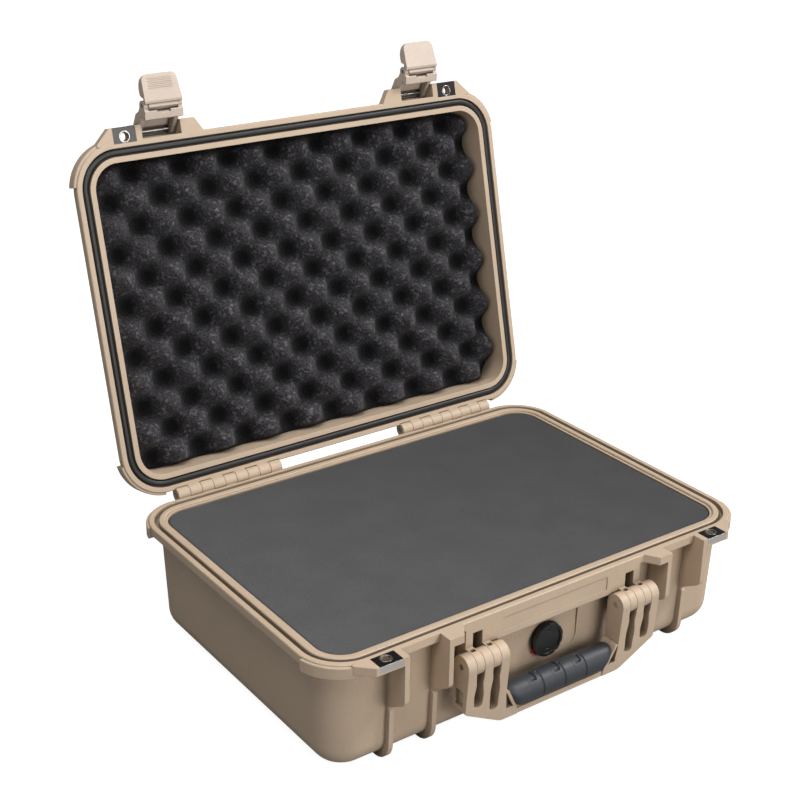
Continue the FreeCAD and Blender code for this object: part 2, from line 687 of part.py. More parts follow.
def foam_edge(z):
    """Offset of the base foam's edge at a height: it clears the wall and the round above the floor."""
    round_in = BASE_BOTTOM_ROUND - FLOOR_THICKNESS
    below = max(0, FLOOR + FLOOR_THICKNESS + round_in - z)
    return inner_wall(z) - FOAM_SIDE_GAP - round_in + math.sqrt(max(0, round_in ** 2 - below ** 2))


def foam_layer(low, high):
    """Foam sheet cut to the base's walls between two heights."""
    core = foam_edge(low) - CORE_OVERLAP
    heights = [low + (high - low) * share for share in FOAM_EDGE_SHARES]
    edge = [(core, high), (core, low)] + [(foam_edge(z), z) for z in heights]
    return filled(edge, core, low, high)


def blunt_peak(x, y, reach, tip, low, high):
    """Four-sided blunt peak between two heights, from flat faces; high is the end with the tip."""
    rings = []
    for half, z in ((reach, low), (tip, high)):
        rings.append([Vector(x + half, y, z), Vector(x, y + half, z), Vector(x - half, y, z),
                      Vector(x, y - half, z)])
    faces = [Part.Face(Part.makePolygon(ring + ring[:1])) for ring in rings]
    for index in range(4):
        after = (index + 1) % 4
        corners = [rings[0][index], rings[0][after], rings[1][after], rings[1][index], rings[0][index]]
        faces.append(Part.Face(Part.makePolygon(corners)))
    return Part.makeSolid(Part.makeShell(faces))


def lid_foam():
    """Convoluted foam: a backing sheet with staggered blunt peaks that point at the opening."""
    inner_top = LID_TOP - LID_TOP_THICKNESS
    valley = inner_top - LID_FOAM_BACKING
    inner_round = LID_TOP_ROUND - LID_TOP_THICKNESS
    edge = lid_inner_wall(inner_top) - FOAM_SIDE_GAP
    core = edge - inner_round - CORE_OVERLAP
    side = [(core, valley), (lid_inner_wall(valley) - FOAM_SIDE_GAP, valley),
            (edge, inner_top, inner_round + FOAM_SIDE_GAP), (core, inner_top)]
    sheet = filled(side, core, valley, inner_top)
    reach = LID_FOAM_PITCH / 2 - LID_FOAM_VALLEY
    tip = LID_FOAM_PEAK_TOP / 2
    margin = lid_inner_wall(valley) - FOAM_SIDE_GAP - LID_FOAM_EDGE
    outer = plate_at(margin, valley - LID_FOAM_PEAK, inner_top)
    peaks = []
    across = int(HALF_LENGTH / LID_FOAM_PITCH) + 1
    rows = int(HALF_WIDTH / (LID_FOAM_PITCH / 2)) + 1
    for row in range(-rows, rows + 1):
        for place in range(-across, across + 1):
            x = (place + (row % 2) / 2) * LID_FOAM_PITCH
            y = row * LID_FOAM_PITCH / 2
            if abs(x) > HALF_LENGTH + tip or abs(y) > HALF_WIDTH + tip:
                continue
            peaks.append(blunt_peak(x, y, reach, tip, valley, valley - LID_FOAM_PEAK).common(outer))
    return opened(joined(sheet, *[peak for peak in peaks if peak.Solids]))


def along(angle):
    """Unit direction in (y, z) for an angle counted from up towards the back."""
    return math.sin(math.radians(angle)), math.cos(math.radians(angle))


def link_place(pivot, angle):
    """Place for shapes drawn in a link's own frame: first value along it, second outwards."""
    u, v = along(angle), along(angle + 90)
    return lambda a, b: (pivot[0] + a * u[0] + b * v[0], pivot[1] + a * u[1] + b * v[1])


def link_side(corners, place, start, width):
    """Prism over an outline drawn along a link."""
    moved = [place(corner[0], corner[1]) + tuple(corner[2:]) for corner in corners]
    return from_side(moved, start, width)


def lever_pivot(angle):
    return link_place(ARM_PIVOT, angle)(ARM_LENGTH, 0)


def hook_start():
    """How far along the shut arm the underside of the base's flange is, with the hook's clearance."""
    return ARM_PIVOT[1] - (RIM - FLANGE_HEIGHT) + ARM_HOOK_CLEARANCE


def latch_arm():
    """Two cheeks joined by a wedge, whose broad side is the hook under the base's flange."""
    place = link_place(ARM_PIVOT, ARM_OPEN_ANGLE)
    end = lever_pivot(ARM_OPEN_ANGLE)
    start = LATCH_X - ARM_WIDTH / 2
    hook = hook_start()
    lip = -(ARM_PIVOT_OUT + ARM_HOOK_BITE)
    far = hook + ARM_WEB_LENGTH
    cheek = [(0, -ARM_FRONT), (hook, -ARM_FRONT), (hook, lip, ARM_LIP_ROUND), (far, lip + ARM_WEB_SLANT),
             (ARM_LENGTH, -ARM_END_RADIUS), (ARM_LENGTH, ARM_NECK_BACK),
             (ARM_NECK, ARM_NECK_BACK, ARM_CHEEK_ROUND), (ARM_SHOULDER, ARM_BACK, ARM_CHEEK_ROUND),
             (0, ARM_EYE_RADIUS)]
    pieces = []
    for low in (start, start + ARM_WIDTH - ARM_CHEEK):
        high = low + ARM_CHEEK
        pieces += [link_side(cheek, place, low, ARM_CHEEK), rod(ARM_EYE_RADIUS, low, high, ARM_PIVOT),
                   rod(ARM_END_RADIUS, low, high, end)]
    web = [(hook, lip, ARM_LIP_ROUND), (far, lip + ARM_WEB_SLANT), (far, -ARM_WEB_OUTER),
           (hook, -ARM_WEB_OUTER)]
    arm = joined(*pieces, link_side(web, place, start, ARM_WIDTH))
    notch = [(far - ARM_NOTCH_DEPTH, lip), (far + OVERRUN, lip), (far + OVERRUN, 0),
             (far - ARM_NOTCH_DEPTH, 0)]
    low, high = start - OVERRUN, start + ARM_WIDTH + OVERRUN
    return arm.cut([link_side(notch, place, LATCH_X - ARM_NOTCH_WIDTH / 2, ARM_NOTCH_WIDTH),
                    rod(LATCH_PIN_RADIUS + RUNNING_FIT, low, high, ARM_PIVOT),
                    rod(LATCH_PIN_RADIUS + FIXED_FIT, low, high, end)])


def latch_lever():
    """Crowned lever; between the arm's cheeks it has a nose, and the eye for its pin."""
    pivot = lever_pivot(ARM_OPEN_ANGLE)
    place = link_place(pivot, LEVER_OPEN_ANGLE)
    outer = LEVER_PLATE - LEVER_INNER
    shoulder = ARM_END_RADIUS + LATCH_SIDE_GAP
    foot = hook_start() + ARM_WEB_LENGTH + 2 * LATCH_SIDE_GAP - ARM_LENGTH
    side = [(foot, outer), (foot, LEVER_BEVEL / 2 - LEVER_INNER), (foot + LEVER_BEVEL, -LEVER_INNER),
            (LEVER_LENGTH, -LEVER_INNER), (LEVER_LENGTH, LEVER_TIP_PLATE - LEVER_INNER),
            (LEVER_CROWN_END, LEVER_CROWN, LEVER_CROWN_ROUND),
            (LEVER_CROWN_START, LEVER_CROWN, LEVER_CROWN_EDGE), (shoulder, outer)]
    blade = link_side(side, place, LATCH_X - LEVER_WIDTH / 2, LEVER_WIDTH)
    half, tip = LEVER_WIDTH / 2, LEVER_TIP_WIDTH / 2
    trim = Part.Face(outline([(-half, -OVERRUN), (half, -OVERRUN), (tip, LEVER_LENGTH, LEVER_TIP_ROUND),
                              (-tip, LEVER_LENGTH, LEVER_TIP_ROUND)],
                             lambda p: Vector(LATCH_X + p.x, *place(p.y, -LEVER_LENGTH))))
    away = along(LEVER_OPEN_ANGLE + 90)
    trim = trim.extrude(Vector(0, away[0], away[1]) * (2 * LEVER_LENGTH))
    eye_half = ARM_WIDTH / 2 - ARM_CHEEK - LATCH_SIDE_GAP
    root = LEVER_BEVEL / 2 - LEVER_INNER
    nose = [(-LEVER_NOSE, -LEVER_NOSE_INNER), (foot, -LEVER_NOSE_INNER), (foot, root),
            (LEVER_CROWN_START, root), (LEVER_CROWN_START, 0),
            (0, LEVER_EYE_RADIUS), (-LEVER_NOSE, 0)]
    tongue = link_side(nose, place, LATCH_X - eye_half, 2 * eye_half)
    eye = rod(LEVER_EYE_RADIUS, LATCH_X - eye_half, LATCH_X + eye_half, pivot)
    bore = rod(LATCH_PIN_RADIUS + RUNNING_FIT, LATCH_X - half - OVERRUN, LATCH_X + half + OVERRUN, pivot)
    return joined(blade.common(trim), tongue, eye).cut(bore)


def latch_pin():
    half = LATCH_RECESS_WIDTH / 2 + RIB_THICKNESS
    return rod(LATCH_PIN_RADIUS, LATCH_X - half, LATCH_X + half, ARM_PIVOT)


def lever_pin():
    half = ARM_WIDTH / 2
    return rod(LATCH_PIN_RADIUS, LATCH_X - half, LATCH_X + half, lever_pivot(ARM_OPEN_ANGLE))


def grip_centre():
    return HANDLE_PIVOT[0] + GRIP_SETBACK, RIM - GRIP_DROP


def grip_end(z):
    """Half length of the grip at a height: its ends slant in towards its sill."""
    top, sill = RIM - GRIP_DROP + GRIP_HALF_HEIGHT, RIM - GRIP_SILL_DROP
    return GRIP_LENGTH / 2 - GRIP_END_SLANT * (top - z) / (top - sill)


def finger_slots():
    """Gaps between the fingers, with slightly wavy sides; the inner one is the deeper."""
    y, z = HANDLE_PIVOT
    slots = []
    for place, start in enumerate(FINGER_STARTS[1:]):
        low, high = start - FINGER_GAP, start
        end = RIM - HANDLE_SLOT_DROP + HANDLE_SLOT_STEP * place
        narrow = z - FINGER_RADIUS - FINGER_WAVE_PITCH / 2
        wide = narrow - FINGER_WAVE_PITCH
        right = [(high, z + FINGER_RADIUS), (high, narrow + FINGER_WAVE_PITCH / 2),
                 (high - FINGER_WAVE, narrow, FINGER_WAVE_ROUND),
                 (high + FINGER_WAVE, wide, FINGER_WAVE_ROUND), (high, end, HANDLE_SLOT_ROUND)]
        left = [(low + high - corner[0],) + corner[1:] for corner in right[::-1]]
        slots.append(from_front(left + right, y - FINGER_RADIUS - OVERRUN, 2 * (FINGER_RADIUS + OVERRUN)))
    return slots


def handle_pockets():
    """Recess on the leg's outer side, and the corner recess between the leg and the grip's end."""
    y = HANDLE_PIVOT[0]
    side = box((HANDLE_OUTER_X - HANDLE_POCKET_DEPTH, y - HANDLE_POCKET_OUT, RIM - HANDLE_POCKET_DROP),
               (HANDLE_OUTER_X + OVERRUN, y + HANDLE_POCKET_BACK, RIM - HANDLE_POCKET_TOP_DROP))
    top, low = RIM - CORNER_POCKET_TOP_DROP, RIM - CORNER_POCKET_DROP
    strip = GRIP_END_GAP + GRIP_STRIP
    corner = from_front([(grip_end(top) + strip, top), (HANDLE_INNER_X, top),
                         (HANDLE_INNER_X - CORNER_POCKET_SLANT, low), (grip_end(low) + strip, low)],
                        y - FINGER_RADIUS, CORNER_POCKET_DEPTH)
    return [side, corner]


def handle_frame():
    y, z = HANDLE_PIVOT
    shoulder, bottom = RIM - HANDLE_SHOULDER_DROP, RIM - HANDLE_BOTTOM_DROP
    sill, bar_top = RIM - GRIP_SILL_DROP, RIM - GRIP_BAR_TOP_DROP
    grip_top = RIM - GRIP_DROP + GRIP_HALF_HEIGHT
    foot, knee = grip_end(sill) + GRIP_END_GAP, grip_end(grip_top) + GRIP_END_GAP
    front, back = y - FINGER_RADIUS, y + HANDLE_BACK
    leg = from_front([(HANDLE_INNER_X, z), (HANDLE_OUTER_X, z),
                      (HANDLE_OUTER_X, shoulder, HANDLE_EDGE_ROUND),
                      (HANDLE_ELBOW_X, bottom, HANDLE_ELBOW_ROUND), (foot, bottom), (foot, sill),
                      (knee, grip_top), (HANDLE_INNER_X, grip_top)], front, back - front)
    depth = from_side([(front, z), (y - HANDLE_FOOT_FRONT, bottom), (back, bottom), (back, z)],
                      foot - OVERRUN, HANDLE_OUTER_X + OVERRUN)
    leg = leg.common(depth)
    for start in FINGER_STARTS:
        leg = leg.fuse(rod(FINGER_RADIUS, start, start + FINGER_WIDTH, HANDLE_PIVOT))
    leg = leg.cut(finger_slots() + handle_pockets())
    leg = leg.cut(rod(HANDLE_PIN_RADIUS + RUNNING_FIT, 0, HANDLE_OUTER_X + OVERRUN, HANDLE_PIVOT))
    centre = grip_centre()
    half, reach = GRIP_BAR_DEPTH / 2, foot + GRIP_STRIP
    bar = box((-reach, centre[0] - half, bottom), (reach, centre[0] + half, bar_top))
    half = GRIP_SILL_DEPTH / 2
    sill_bar = box((-reach, centre[0] - half, bottom), (reach, centre[0] + half, sill))
    return joined(leg, mirrored(leg), bar, sill_bar)


def grip_section(x):
    """Oval of the grip, as a closed wire at one X."""
    centre = Vector(x, *grip_centre())
    top, back = centre + Vector(0, 0, GRIP_HALF_HEIGHT), centre + Vector(0, GRIP_HALF_DEPTH, 0)
    return Part.Wire(Part.Ellipse(top, back, centre).toShape())


def handle_grip():
    """Rubber sleeve over the handle's bar, with slanted ends; the bar's sill stays bare below it."""
    half = GRIP_LENGTH / 2
    body = Part.Face(grip_section(-half)).extrude(Vector(GRIP_LENGTH, 0, 0))
    sill = RIM - GRIP_SILL_DROP
    centre = grip_centre()
    top, low = RIM - GRIP_DROP + GRIP_HALF_HEIGHT, RIM - HANDLE_BOTTOM_DROP - OVERRUN
    ends = [(-grip_end(top), top), (grip_end(top), top), (grip_end(low), low), (-grip_end(low), low)]
    keep = from_front(ends, centre[0] - GRIP_HALF_DEPTH - OVERRUN, 2 * (GRIP_HALF_DEPTH + OVERRUN))
    body = body.common(keep)
    depth = GRIP_BAR_DEPTH / 2
    bar = box((-half - OVERRUN, centre[0] - depth, low),
              (half + OVERRUN, centre[0] + depth, RIM - GRIP_BAR_TOP_DROP))
    below = box((-half - OVERRUN, centre[0] - GRIP_HALF_DEPTH - OVERRUN, low),
                (half + OVERRUN, centre[0] + GRIP_HALF_DEPTH + OVERRUN, sill))
    return body.cut([bar, below])


def handle_pin():
    return rod(HANDLE_PIN_RADIUS, HANDLE_INNER_X, HANDLE_OUTER_X, HANDLE_PIVOT)


def hinge_pin():
    end = HINGE_START_X + HINGE_KNUCKLES * HINGE_PITCH - HINGE_PIN_INSET
    return rod(HINGE_PIN_RADIUS, HINGE_START_X + HINGE_PIN_INSET, end, (HINGE_Y, HINGE_Z))


def valve_marks(front, centre):
    """Notches round the cap's rim and two slots in its dish, as boxes to be cut."""
    marks = []
    half, slot = VALVE_NOTCH_WIDTH / 2, VALVE_SLOT_WIDTH / 2
    for place in range(VALVE_NOTCHES):
        notch = box((VALVE_RADIUS - VALVE_CAP_RIM / 2, front - OVERRUN, centre[1] - half),
                    (VALVE_RADIUS + OVERRUN, front + VALVE_NOTCH_DEPTH, centre[1] + half))
        notch.rotate(Vector(0, front, centre[1]), Vector(0, 1, 0), 360 * place / VALVE_NOTCHES)
        marks.append(notch)
    for side in (-1, 1):
        middle = centre[1] + side * VALVE_SLOT_RADIUS
        marks.append(box((-VALVE_SLOT_LENGTH / 2, front - OVERRUN, middle - slot),
                         (VALVE_SLOT_LENGTH / 2, front + VALVE_CAP_DISH + VALVE_NOTCH_DEPTH, middle + slot)))
    return marks


def valve_pieces():
    """Body with its stem, cap, seal ring and the nut inside the wall."""
    centre = (0, RIM - VALVE_DROP)
    face = valve_face()
    inside = -(HALF_WIDTH + inner_wall(RIM - VALVE_DROP))
    collar_front = face - VALVE_COLLAR_DEPTH
    body = disc(VALVE_RADIUS, collar_front, VALVE_COLLAR_DEPTH, centre)
    tail = inside + VALVE_NUT_DEPTH + VALVE_STEM_TAIL - face
    stem = disc(VALVE_STEM_RADIUS, face, tail, centre)
    ring_y = face - VALVE_RING_WIRE
    ring = Part.makeTorus(VALVE_RING_RADIUS, VALVE_RING_WIRE, Vector(0, ring_y, centre[1]), Vector(0, 1, 0))
    wire = 2 * VALVE_RING_WIRE
    seat = disc(VALVE_RING_RADIUS + VALVE_RING_WIRE, face - wire, wire, centre)
    seat = seat.cut(disc(VALVE_RING_RADIUS - VALVE_RING_WIRE, face - wire, wire, centre))
    cap_front = collar_front - VALVE_CAP_DEPTH
    cap = disc(VALVE_RADIUS - EDGE_CHAMFER, cap_front, VALVE_CAP_DEPTH, centre)
    cap = cap.cut(disc(VALVE_RADIUS - VALVE_CAP_RIM, cap_front, VALVE_CAP_DISH, centre))
    cap = cap.cut(valve_marks(cap_front, centre))
    nut_front = inside + VALVE_NUT_RADIUS * tangent(INNER_DRAFT) + FIXED_FIT
    nut = disc(VALVE_NUT_RADIUS, nut_front, VALVE_NUT_DEPTH, centre)
    bore = disc(VALVE_STEM_RADIUS + FIXED_FIT, nut_front - OVERRUN, VALVE_NUT_DEPTH + 2 * OVERRUN, centre)
    return {"valve_body": joined(body, stem).cut(seat), "valve_cap": cap, "valve_o_ring": ring,
            "valve_nut": nut.cut(bore)}


def foam_pieces():
    floor_top = FLOOR + FLOOR_THICKNESS
    bottom_top = floor_top + BOTTOM_PAD
    middle_top = bottom_top + MIDDLE_FOAM
    pieces = {
        "base_foam_bottom": foam_layer(floor_top, bottom_top),
        "base_foam_middle": foam_layer(bottom_top, middle_top),
        "base_foam_top": foam_layer(middle_top, RIM - FOAM_TOP_DROP)}
    centre = (0, RIM - VALVE_DROP)
    inside = -(HALF_WIDTH + inner_wall(RIM - VALVE_DROP))
    room = disc(VALVE_NUT_RADIUS + FOAM_SIDE_GAP, inside - OVERRUN,
                OVERRUN + VALVE_NUT_DEPTH + VALVE_STEM_TAIL + FOAM_SIDE_GAP, centre)
    return {name: shape.cut(room) for name, shape in pieces.items()}


def all_pieces():
    pieces = {"base_shell": base_shell(), "lid_shell": lid_shell(), "lid_seal": lid_seal(),
              "lid_foam": lid_foam(), "handle_frame": handle_frame(), "handle_grip": handle_grip()}
    pieces.update(foam_pieces())
    pieces.update(valve_pieces())
    pairs = {"hinge_pin": hinge_pin(), "handle_pin": handle_pin(), "latch_pin": opened(latch_pin()),
             "latch_lever_pin": opened(lever_pin()), "latch_arm": opened(latch_arm()),
             "latch_lever": opened(latch_lever()),
             "padlock_plate_base": padlock_plate(RIM, -1).cut(padlock_hole()),
             "padlock_plate_lid": opened(padlock_plate(LIP, 1).cut(padlock_hole()))}
    for name, shape in pairs.items():
        pieces[name + "_right"] = shape
        pieces[name + "_left"] = mirrored(shape)
    return pieces


def centred(pieces):
    """All pieces moved along Y, so that the middle of the whole is over the origin."""
    spans = [piece.optimalBoundingBox(False, False) for piece in pieces.values()]
    middle = (min(span.YMin for span in spans) + max(span.YMax for span in spans)) / 2
    print("moved along Y by", -middle)
    return {name: piece.translated(Vector(0, -middle, 0)) for name, piece in pieces.items()}


os.makedirs("parts", exist_ok=True)
for name, shape in centred(all_pieces()).items():
    if len(shape.Solids) == 1:
        shape = shape.Solids[0]
    print(name, len(shape.Solids), round(shape.Volume), shape.isValid())
    shape.exportStep("parts/" + name + ".step")
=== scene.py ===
import math

import bpy
import numpy as np
from bpy.props import FloatProperty, FloatVectorProperty, PointerProperty
from mathutils import Matrix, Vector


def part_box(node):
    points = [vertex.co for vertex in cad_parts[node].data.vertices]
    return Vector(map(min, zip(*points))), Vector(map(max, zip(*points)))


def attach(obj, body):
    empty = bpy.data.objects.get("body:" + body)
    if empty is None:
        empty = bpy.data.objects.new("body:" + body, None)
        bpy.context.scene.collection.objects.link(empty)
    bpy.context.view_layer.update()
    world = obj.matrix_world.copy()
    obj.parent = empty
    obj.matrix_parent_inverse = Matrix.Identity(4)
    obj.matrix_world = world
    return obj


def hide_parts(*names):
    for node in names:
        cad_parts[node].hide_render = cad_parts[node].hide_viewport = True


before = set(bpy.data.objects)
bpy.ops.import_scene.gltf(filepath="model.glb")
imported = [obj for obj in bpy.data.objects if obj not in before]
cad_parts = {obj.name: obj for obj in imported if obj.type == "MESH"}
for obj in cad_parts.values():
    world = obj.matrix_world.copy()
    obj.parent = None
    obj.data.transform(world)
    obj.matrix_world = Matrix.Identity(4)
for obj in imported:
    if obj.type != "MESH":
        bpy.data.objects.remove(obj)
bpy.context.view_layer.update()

bl_info = {
    "name": "Laptop hard case",
    "version": (1, 0, 0),
    "blender": (4, 5, 0),
    "location": "3D View > Sidebar > Hard case",
    "description": "Finishes, foam and fittings of a laptop hard case, built round its packed frame",
    "category": "Object",
}

MILLIMETRE = 0.001
# Pixels along each side of the photograph
PICTURE = 800

# The opening's middle is in front of the origin. The open lid turns about the hinge axis, along X.
MIDDLE_Y = -0.0511116
HINGE_Y, HINGE_Z = MIDDLE_Y + 0.1647, 0.1160
LID_TURN = math.radians(103.2)
# Height of the base's rim, and the gap that the shut lid leaves above it
RIM, PARTING = 0.1145, 0.00035
HALF_LENGTH, HALF_WIDTH, OPENING_CORNER = 0.2125, 0.1425, 0.024

# Points round a ring and round its wire
RING_STEPS = (96, 24)

# Widths of flow clouds, rubber bloom, smudges on steel and patches of nap
CLOUDS, BLOOM, SMUDGES, NAP = 0.060, 0.018, 0.008, 0.035
# Corners that open less than this far away get painted shade
SHADE_REACH = 0.014
# The levers lean back. Their ridges fade in and out along the lever from its pin, and towards its sides.
LEVER_LEAN = math.radians(23.0)
RIDGES_IN, RIDGES_OUT, RIDGES_ASIDE = (0.0115, 0.0125), (0.0230, 0.0220), (0.0125, 0.0110)


# Colours and numbers

def linear(colour):
    """Turns an sRGB hex colour into linear red, green, blue and alpha."""
    shares = [int(colour[start:start + 2], 16) / 255 for start in (1, 3, 5)]
    return [s / 12.92 if s <= 0.04045 else ((s + 0.055) / 1.055) ** 2.4 for s in shares] + [1.0]


def colour_setting(name, description, colour):
    return FloatVectorProperty(name=name, description=description, subtype="COLOR", size=4, min=0, max=1,
                               default=linear(colour))


def length_setting(name, description, millimetres):
    return FloatProperty(name=name, description=description, subtype="DISTANCE", unit="LENGTH",
                         default=millimetres * MILLIMETRE, min=0)


class CaseColours(bpy.types.PropertyGroup):
    shell: colour_setting("Shell", "Base, lid and handle legs", "#C1AB93")
    # painted light: the latches' colour is a paler copy of the shell's tan, for the light on their faces
    latch: colour_setting("Latches", "Arms and levers", "#C6B5A5")
    flat_foam: colour_setting("Base foam", "Flat foam in the base", "#484849")
    lid_foam: colour_setting("Lid foam", "Convoluted foam in the lid", "#323033")
    seal: colour_setting("Seal", "Rubber ring in the lid's groove", "#1B1A1A")
    grip: colour_setting("Grip", "Rubber overmoulding of the handle", "#303338")
    valve: colour_setting("Valve", "Body and cap of the pressure valve", "#141414")
    ring: colour_setting("Valve ring", "Silicone ring behind the valve", "#C2202B")
    steel: colour_setting("Steel", "Pins and the rims of the padlock holes", "#B9B8B6")
    plate: colour_setting("Padlock plates", "Folded sheet of the padlock plates", "#4C4A48")
    # painted reflection: the pale colour that the base's plates show on their faces that look forwards
    nose: colour_setting("Painted nose reflection", "Front face of the base's padlock plates", "#E4DFDA")


class CaseSizes(bpy.types.PropertyGroup):
    foam_pitch: length_setting("Peak pitch", "From one peak of the lid foam to the next in its row", 49.9)
    foam_rows: length_setting("Row pitch", "From one row of peaks to the next but one", 47.3)
    foam_peak: length_setting("Peak height", "From the valleys of the lid foam to its peaks", 21)
    foam_pores: length_setting("Lid foam pores", "Width of one open cell of the lid foam", 2.4)
    flat_pores: length_setting("Base foam pores", "Width of one open cell of the base foam", 1.2)
    shell_grain: length_setting("Shell grain", "Width of one pit of the moulded texture", 1.5)
    edge_round: length_setting("Edge rounding", "Radius that moulded edges show", 0.8)


# Meshes

def grid_faces(rows, columns, around=False):
    """Quads of a grid of points. The last column joins the first where the grid goes round."""
    index = np.arange(rows * columns).reshape(rows, columns)
    if around:
        index = np.concatenate([index, index[:, :1]], axis=1)
    return np.stack([index[:-1, :-1], index[:-1, 1:], index[1:, 1:], index[1:, :-1]], -1).reshape(-1, 4)


def rim_of(rows, columns):
    """Indices of a grid's border points, in one turn."""
    index = np.arange(rows * columns).reshape(rows, columns)
    return np.concatenate([index[0, :-1], index[:-1, -1], index[-1, :0:-1], index[:0:-1, 0]])


def make_mesh(name, points, faces, smooth=True, heights=None):
    """A mesh of points and faces. Heights from 0 to 1, one a point, go into a map that materials read."""
    mesh = bpy.data.meshes.new(name)
    mesh.from_pydata(np.asarray(points, float).reshape(-1, 3).tolist(), [], [list(face) for face in faces])
    mesh.polygons.foreach_set("use_smooth", np.full(len(mesh.polygons), smooth))
    if heights is not None:
        corners = np.zeros(len(mesh.loops), dtype=int)
        mesh.loops.foreach_get("vertex_index", corners)
        share = np.asarray(heights, float)[corners]
        mesh.uv_layers.new(name="height").data.foreach_set("uv", np.stack([share, share], -1).ravel())
    mesh.update()
    return mesh


def block_mesh(name, upper, lower, heights=None):
    """A closed block between two grids of points of the same shape, joined along their rims."""
    rows, columns = upper.shape[:2]
    below = rows * columns
    quads, rim = grid_faces(rows, columns), rim_of(rows, columns)
    after = np.roll(rim, -1)
    walls = np.stack([after + below, rim + below, rim, after], -1)
    points = np.concatenate([upper.reshape(-1, 3), lower.reshape(-1, 3)])
    return make_mesh(name, points, np.concatenate([quads[:, ::-1], quads + below, walls]), heights=heights)


def add_piece(name, mesh, body, material, stands_for=()):
    """Puts a mesh into the scene as a piece that rides on a body and may stand for CAD nodes."""
    piece = bpy.data.objects.new(name, mesh)
    bpy.context.scene.collection.objects.link(piece)
    mesh.materials.append(material)
    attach(piece, body)
    if stands_for:
        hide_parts(*stands_for)
    return piece


def ring_angles():
    """Angles round a ring and round its wire, for each of its points."""
    around, round_wire = (np.linspace(0, 2 * np.pi, steps + 1)[:-1] for steps in RING_STEPS)
    return np.meshgrid(around, round_wire, indexing="ij")


def ring_points(centre, radius, wire, squash):
    """Points of a level torus, whose wire's height is squashed by a share."""
    turn, round_wire = ring_angles()
    out = radius + wire * np.cos(round_wire)
    return np.stack([centre[0] + out * np.cos(turn), centre[1] + out * np.sin(turn),
                     centre[2] + squash * wire * np.sin(round_wire)], -1)


def ring_faces():
    """Quads of such a torus, facing outwards."""
    index = np.arange(math.prod(RING_STEPS)).reshape(RING_STEPS)
    after = np.roll(index, -1, axis=0)
    return np.stack([index, after, np.roll(after, -1, axis=1), np.roll(index, -1, axis=1)], -1).reshape(-1, 4)


def open_lid(points):
    """Turns points of the shut lid about the hinge axis to where the open lid has them."""
    y, z = points[..., 1] - HINGE_Y, points[..., 2] - HINGE_Z
    cos, sin = math.cos(LID_TURN), math.sin(LID_TURN)
    return np.stack([points[..., 0], HINGE_Y + cos * y + sin * z, HINGE_Z - sin * y + cos * z], -1)


def round_corners(x, y, half_x, half_y, corner):
    """Moves a rectangle's points into rounded corners.

    Past a corner's centre, a point keeps its direction from that centre, and its distance becomes the
    larger of its two coordinates there, which turns the corner's square into a quarter of a disc."""
    over_x = np.maximum(np.abs(x) - (half_x - corner), 0)
    over_y = np.maximum(np.abs(y) - (half_y - corner), 0)
    far = np.hypot(over_x, over_y)
    share = np.where(far > 0, np.maximum(over_x, over_y) / np.where(far > 0, far, 1), 1)
    return x - np.sign(x) * over_x * (1 - share), y - np.sign(y) * over_y * (1 - share)


def edge_distance(x, y, half_x, half_y, corner):
    """How far inside a rounded rectangle a point is: the corner radius less the distance past its centre."""
    over_x, over_y = np.abs(x) - (half_x - corner), np.abs(y) - (half_y - corner)
    outside = np.hypot(np.maximum(over_x, 0), np.maximum(over_y, 0))
    inside = np.minimum(np.maximum(over_x, over_y), 0)
    return corner - outside - inside


def spread(half, step, edge, edge_steps):
    """Places from minus half to half: even in the middle, closer together within the edge width."""
    count = max(2, int(round(2 * (half - edge) / step)))
    middle = np.linspace(-(half - edge), half - edge, count + 1)
    rise = edge * np.sin(np.linspace(0, np.pi / 2, edge_steps + 1))[1:]
    return np.concatenate([-(half - edge) - rise[::-1], middle, half - edge + rise])


# Materials

def add_node(tree, kind, sockets=None, **settings):
    """Adds a node with its settings. Each socket is given a value, or a link where its value is an output."""
    node = tree.nodes.new(kind)
    for name, value in settings.items():
        setattr(node, name, value)
    for socket, value in (sockets or {}).items():
        if isinstance(value, bpy.types.NodeSocket):
            tree.links.new(value, node.inputs[socket])
        else:
            node.inputs[socket].default_value = value
    return node


def maths(tree, operation, *values):
    """Result of one operation on numbers or outputs."""
    return add_node(tree, "ShaderNodeMath", dict(enumerate(values)), operation=operation).outputs[0]


def dot(tree, vector, direction):
    """Product of two vectors: how far the first reaches along the second."""
    return add_node(tree, "ShaderNodeVectorMath", {0: vector, 1: direction},
                    operation="DOT_PRODUCT").outputs["Value"]


def remap(tree, value, start, end, low=0.0, high=1.0):
    """Turns a value's way from start to end into the way from low to high, and keeps it between them."""
    return add_node(tree, "ShaderNodeMapRange", {"Value": value, "From Min": start, "From Max": end,
                                                 "To Min": low, "To Max": high}).outputs["Result"]


def noise(tree, place, scale, detail, rough):
    """Cloudy noise with so many clouds a metre."""
    return add_node(tree, "ShaderNodeTexNoise", {"Vector": place, "Scale": scale, "Detail": detail,
                                                 "Roughness": rough}).outputs["Fac"]


def cells(tree, place, scale):
    """Outputs of a texture of cells that lie at random, so many a metre."""
    return add_node(tree, "ShaderNodeTexVoronoi", {"Vector": place, "Scale": scale,
                                                   "Randomness": 1.0}).outputs


def tint(colour, share):
    """A colour made darker or lighter by a share, at most white."""
    return [min(1.0, channel * share) for channel in colour[:3]] + [1.0]


def mix_colours(tree, share, first, second):
    return add_node(tree, "ShaderNodeMix", {0: share, 6: first, 7: second}, data_type="RGBA").outputs[2]


def scale_colour(tree, colour, share):
    return add_node(tree, "ShaderNodeVectorMath", {0: colour, "Scale": share},
                    operation="SCALE").outputs["Vector"]


def bevelled(tree, radius):
    """Normal that rounds off the edges by a radius."""
    return add_node(tree, "ShaderNodeBevel", {"Radius": radius}, samples=4).outputs["Normal"]


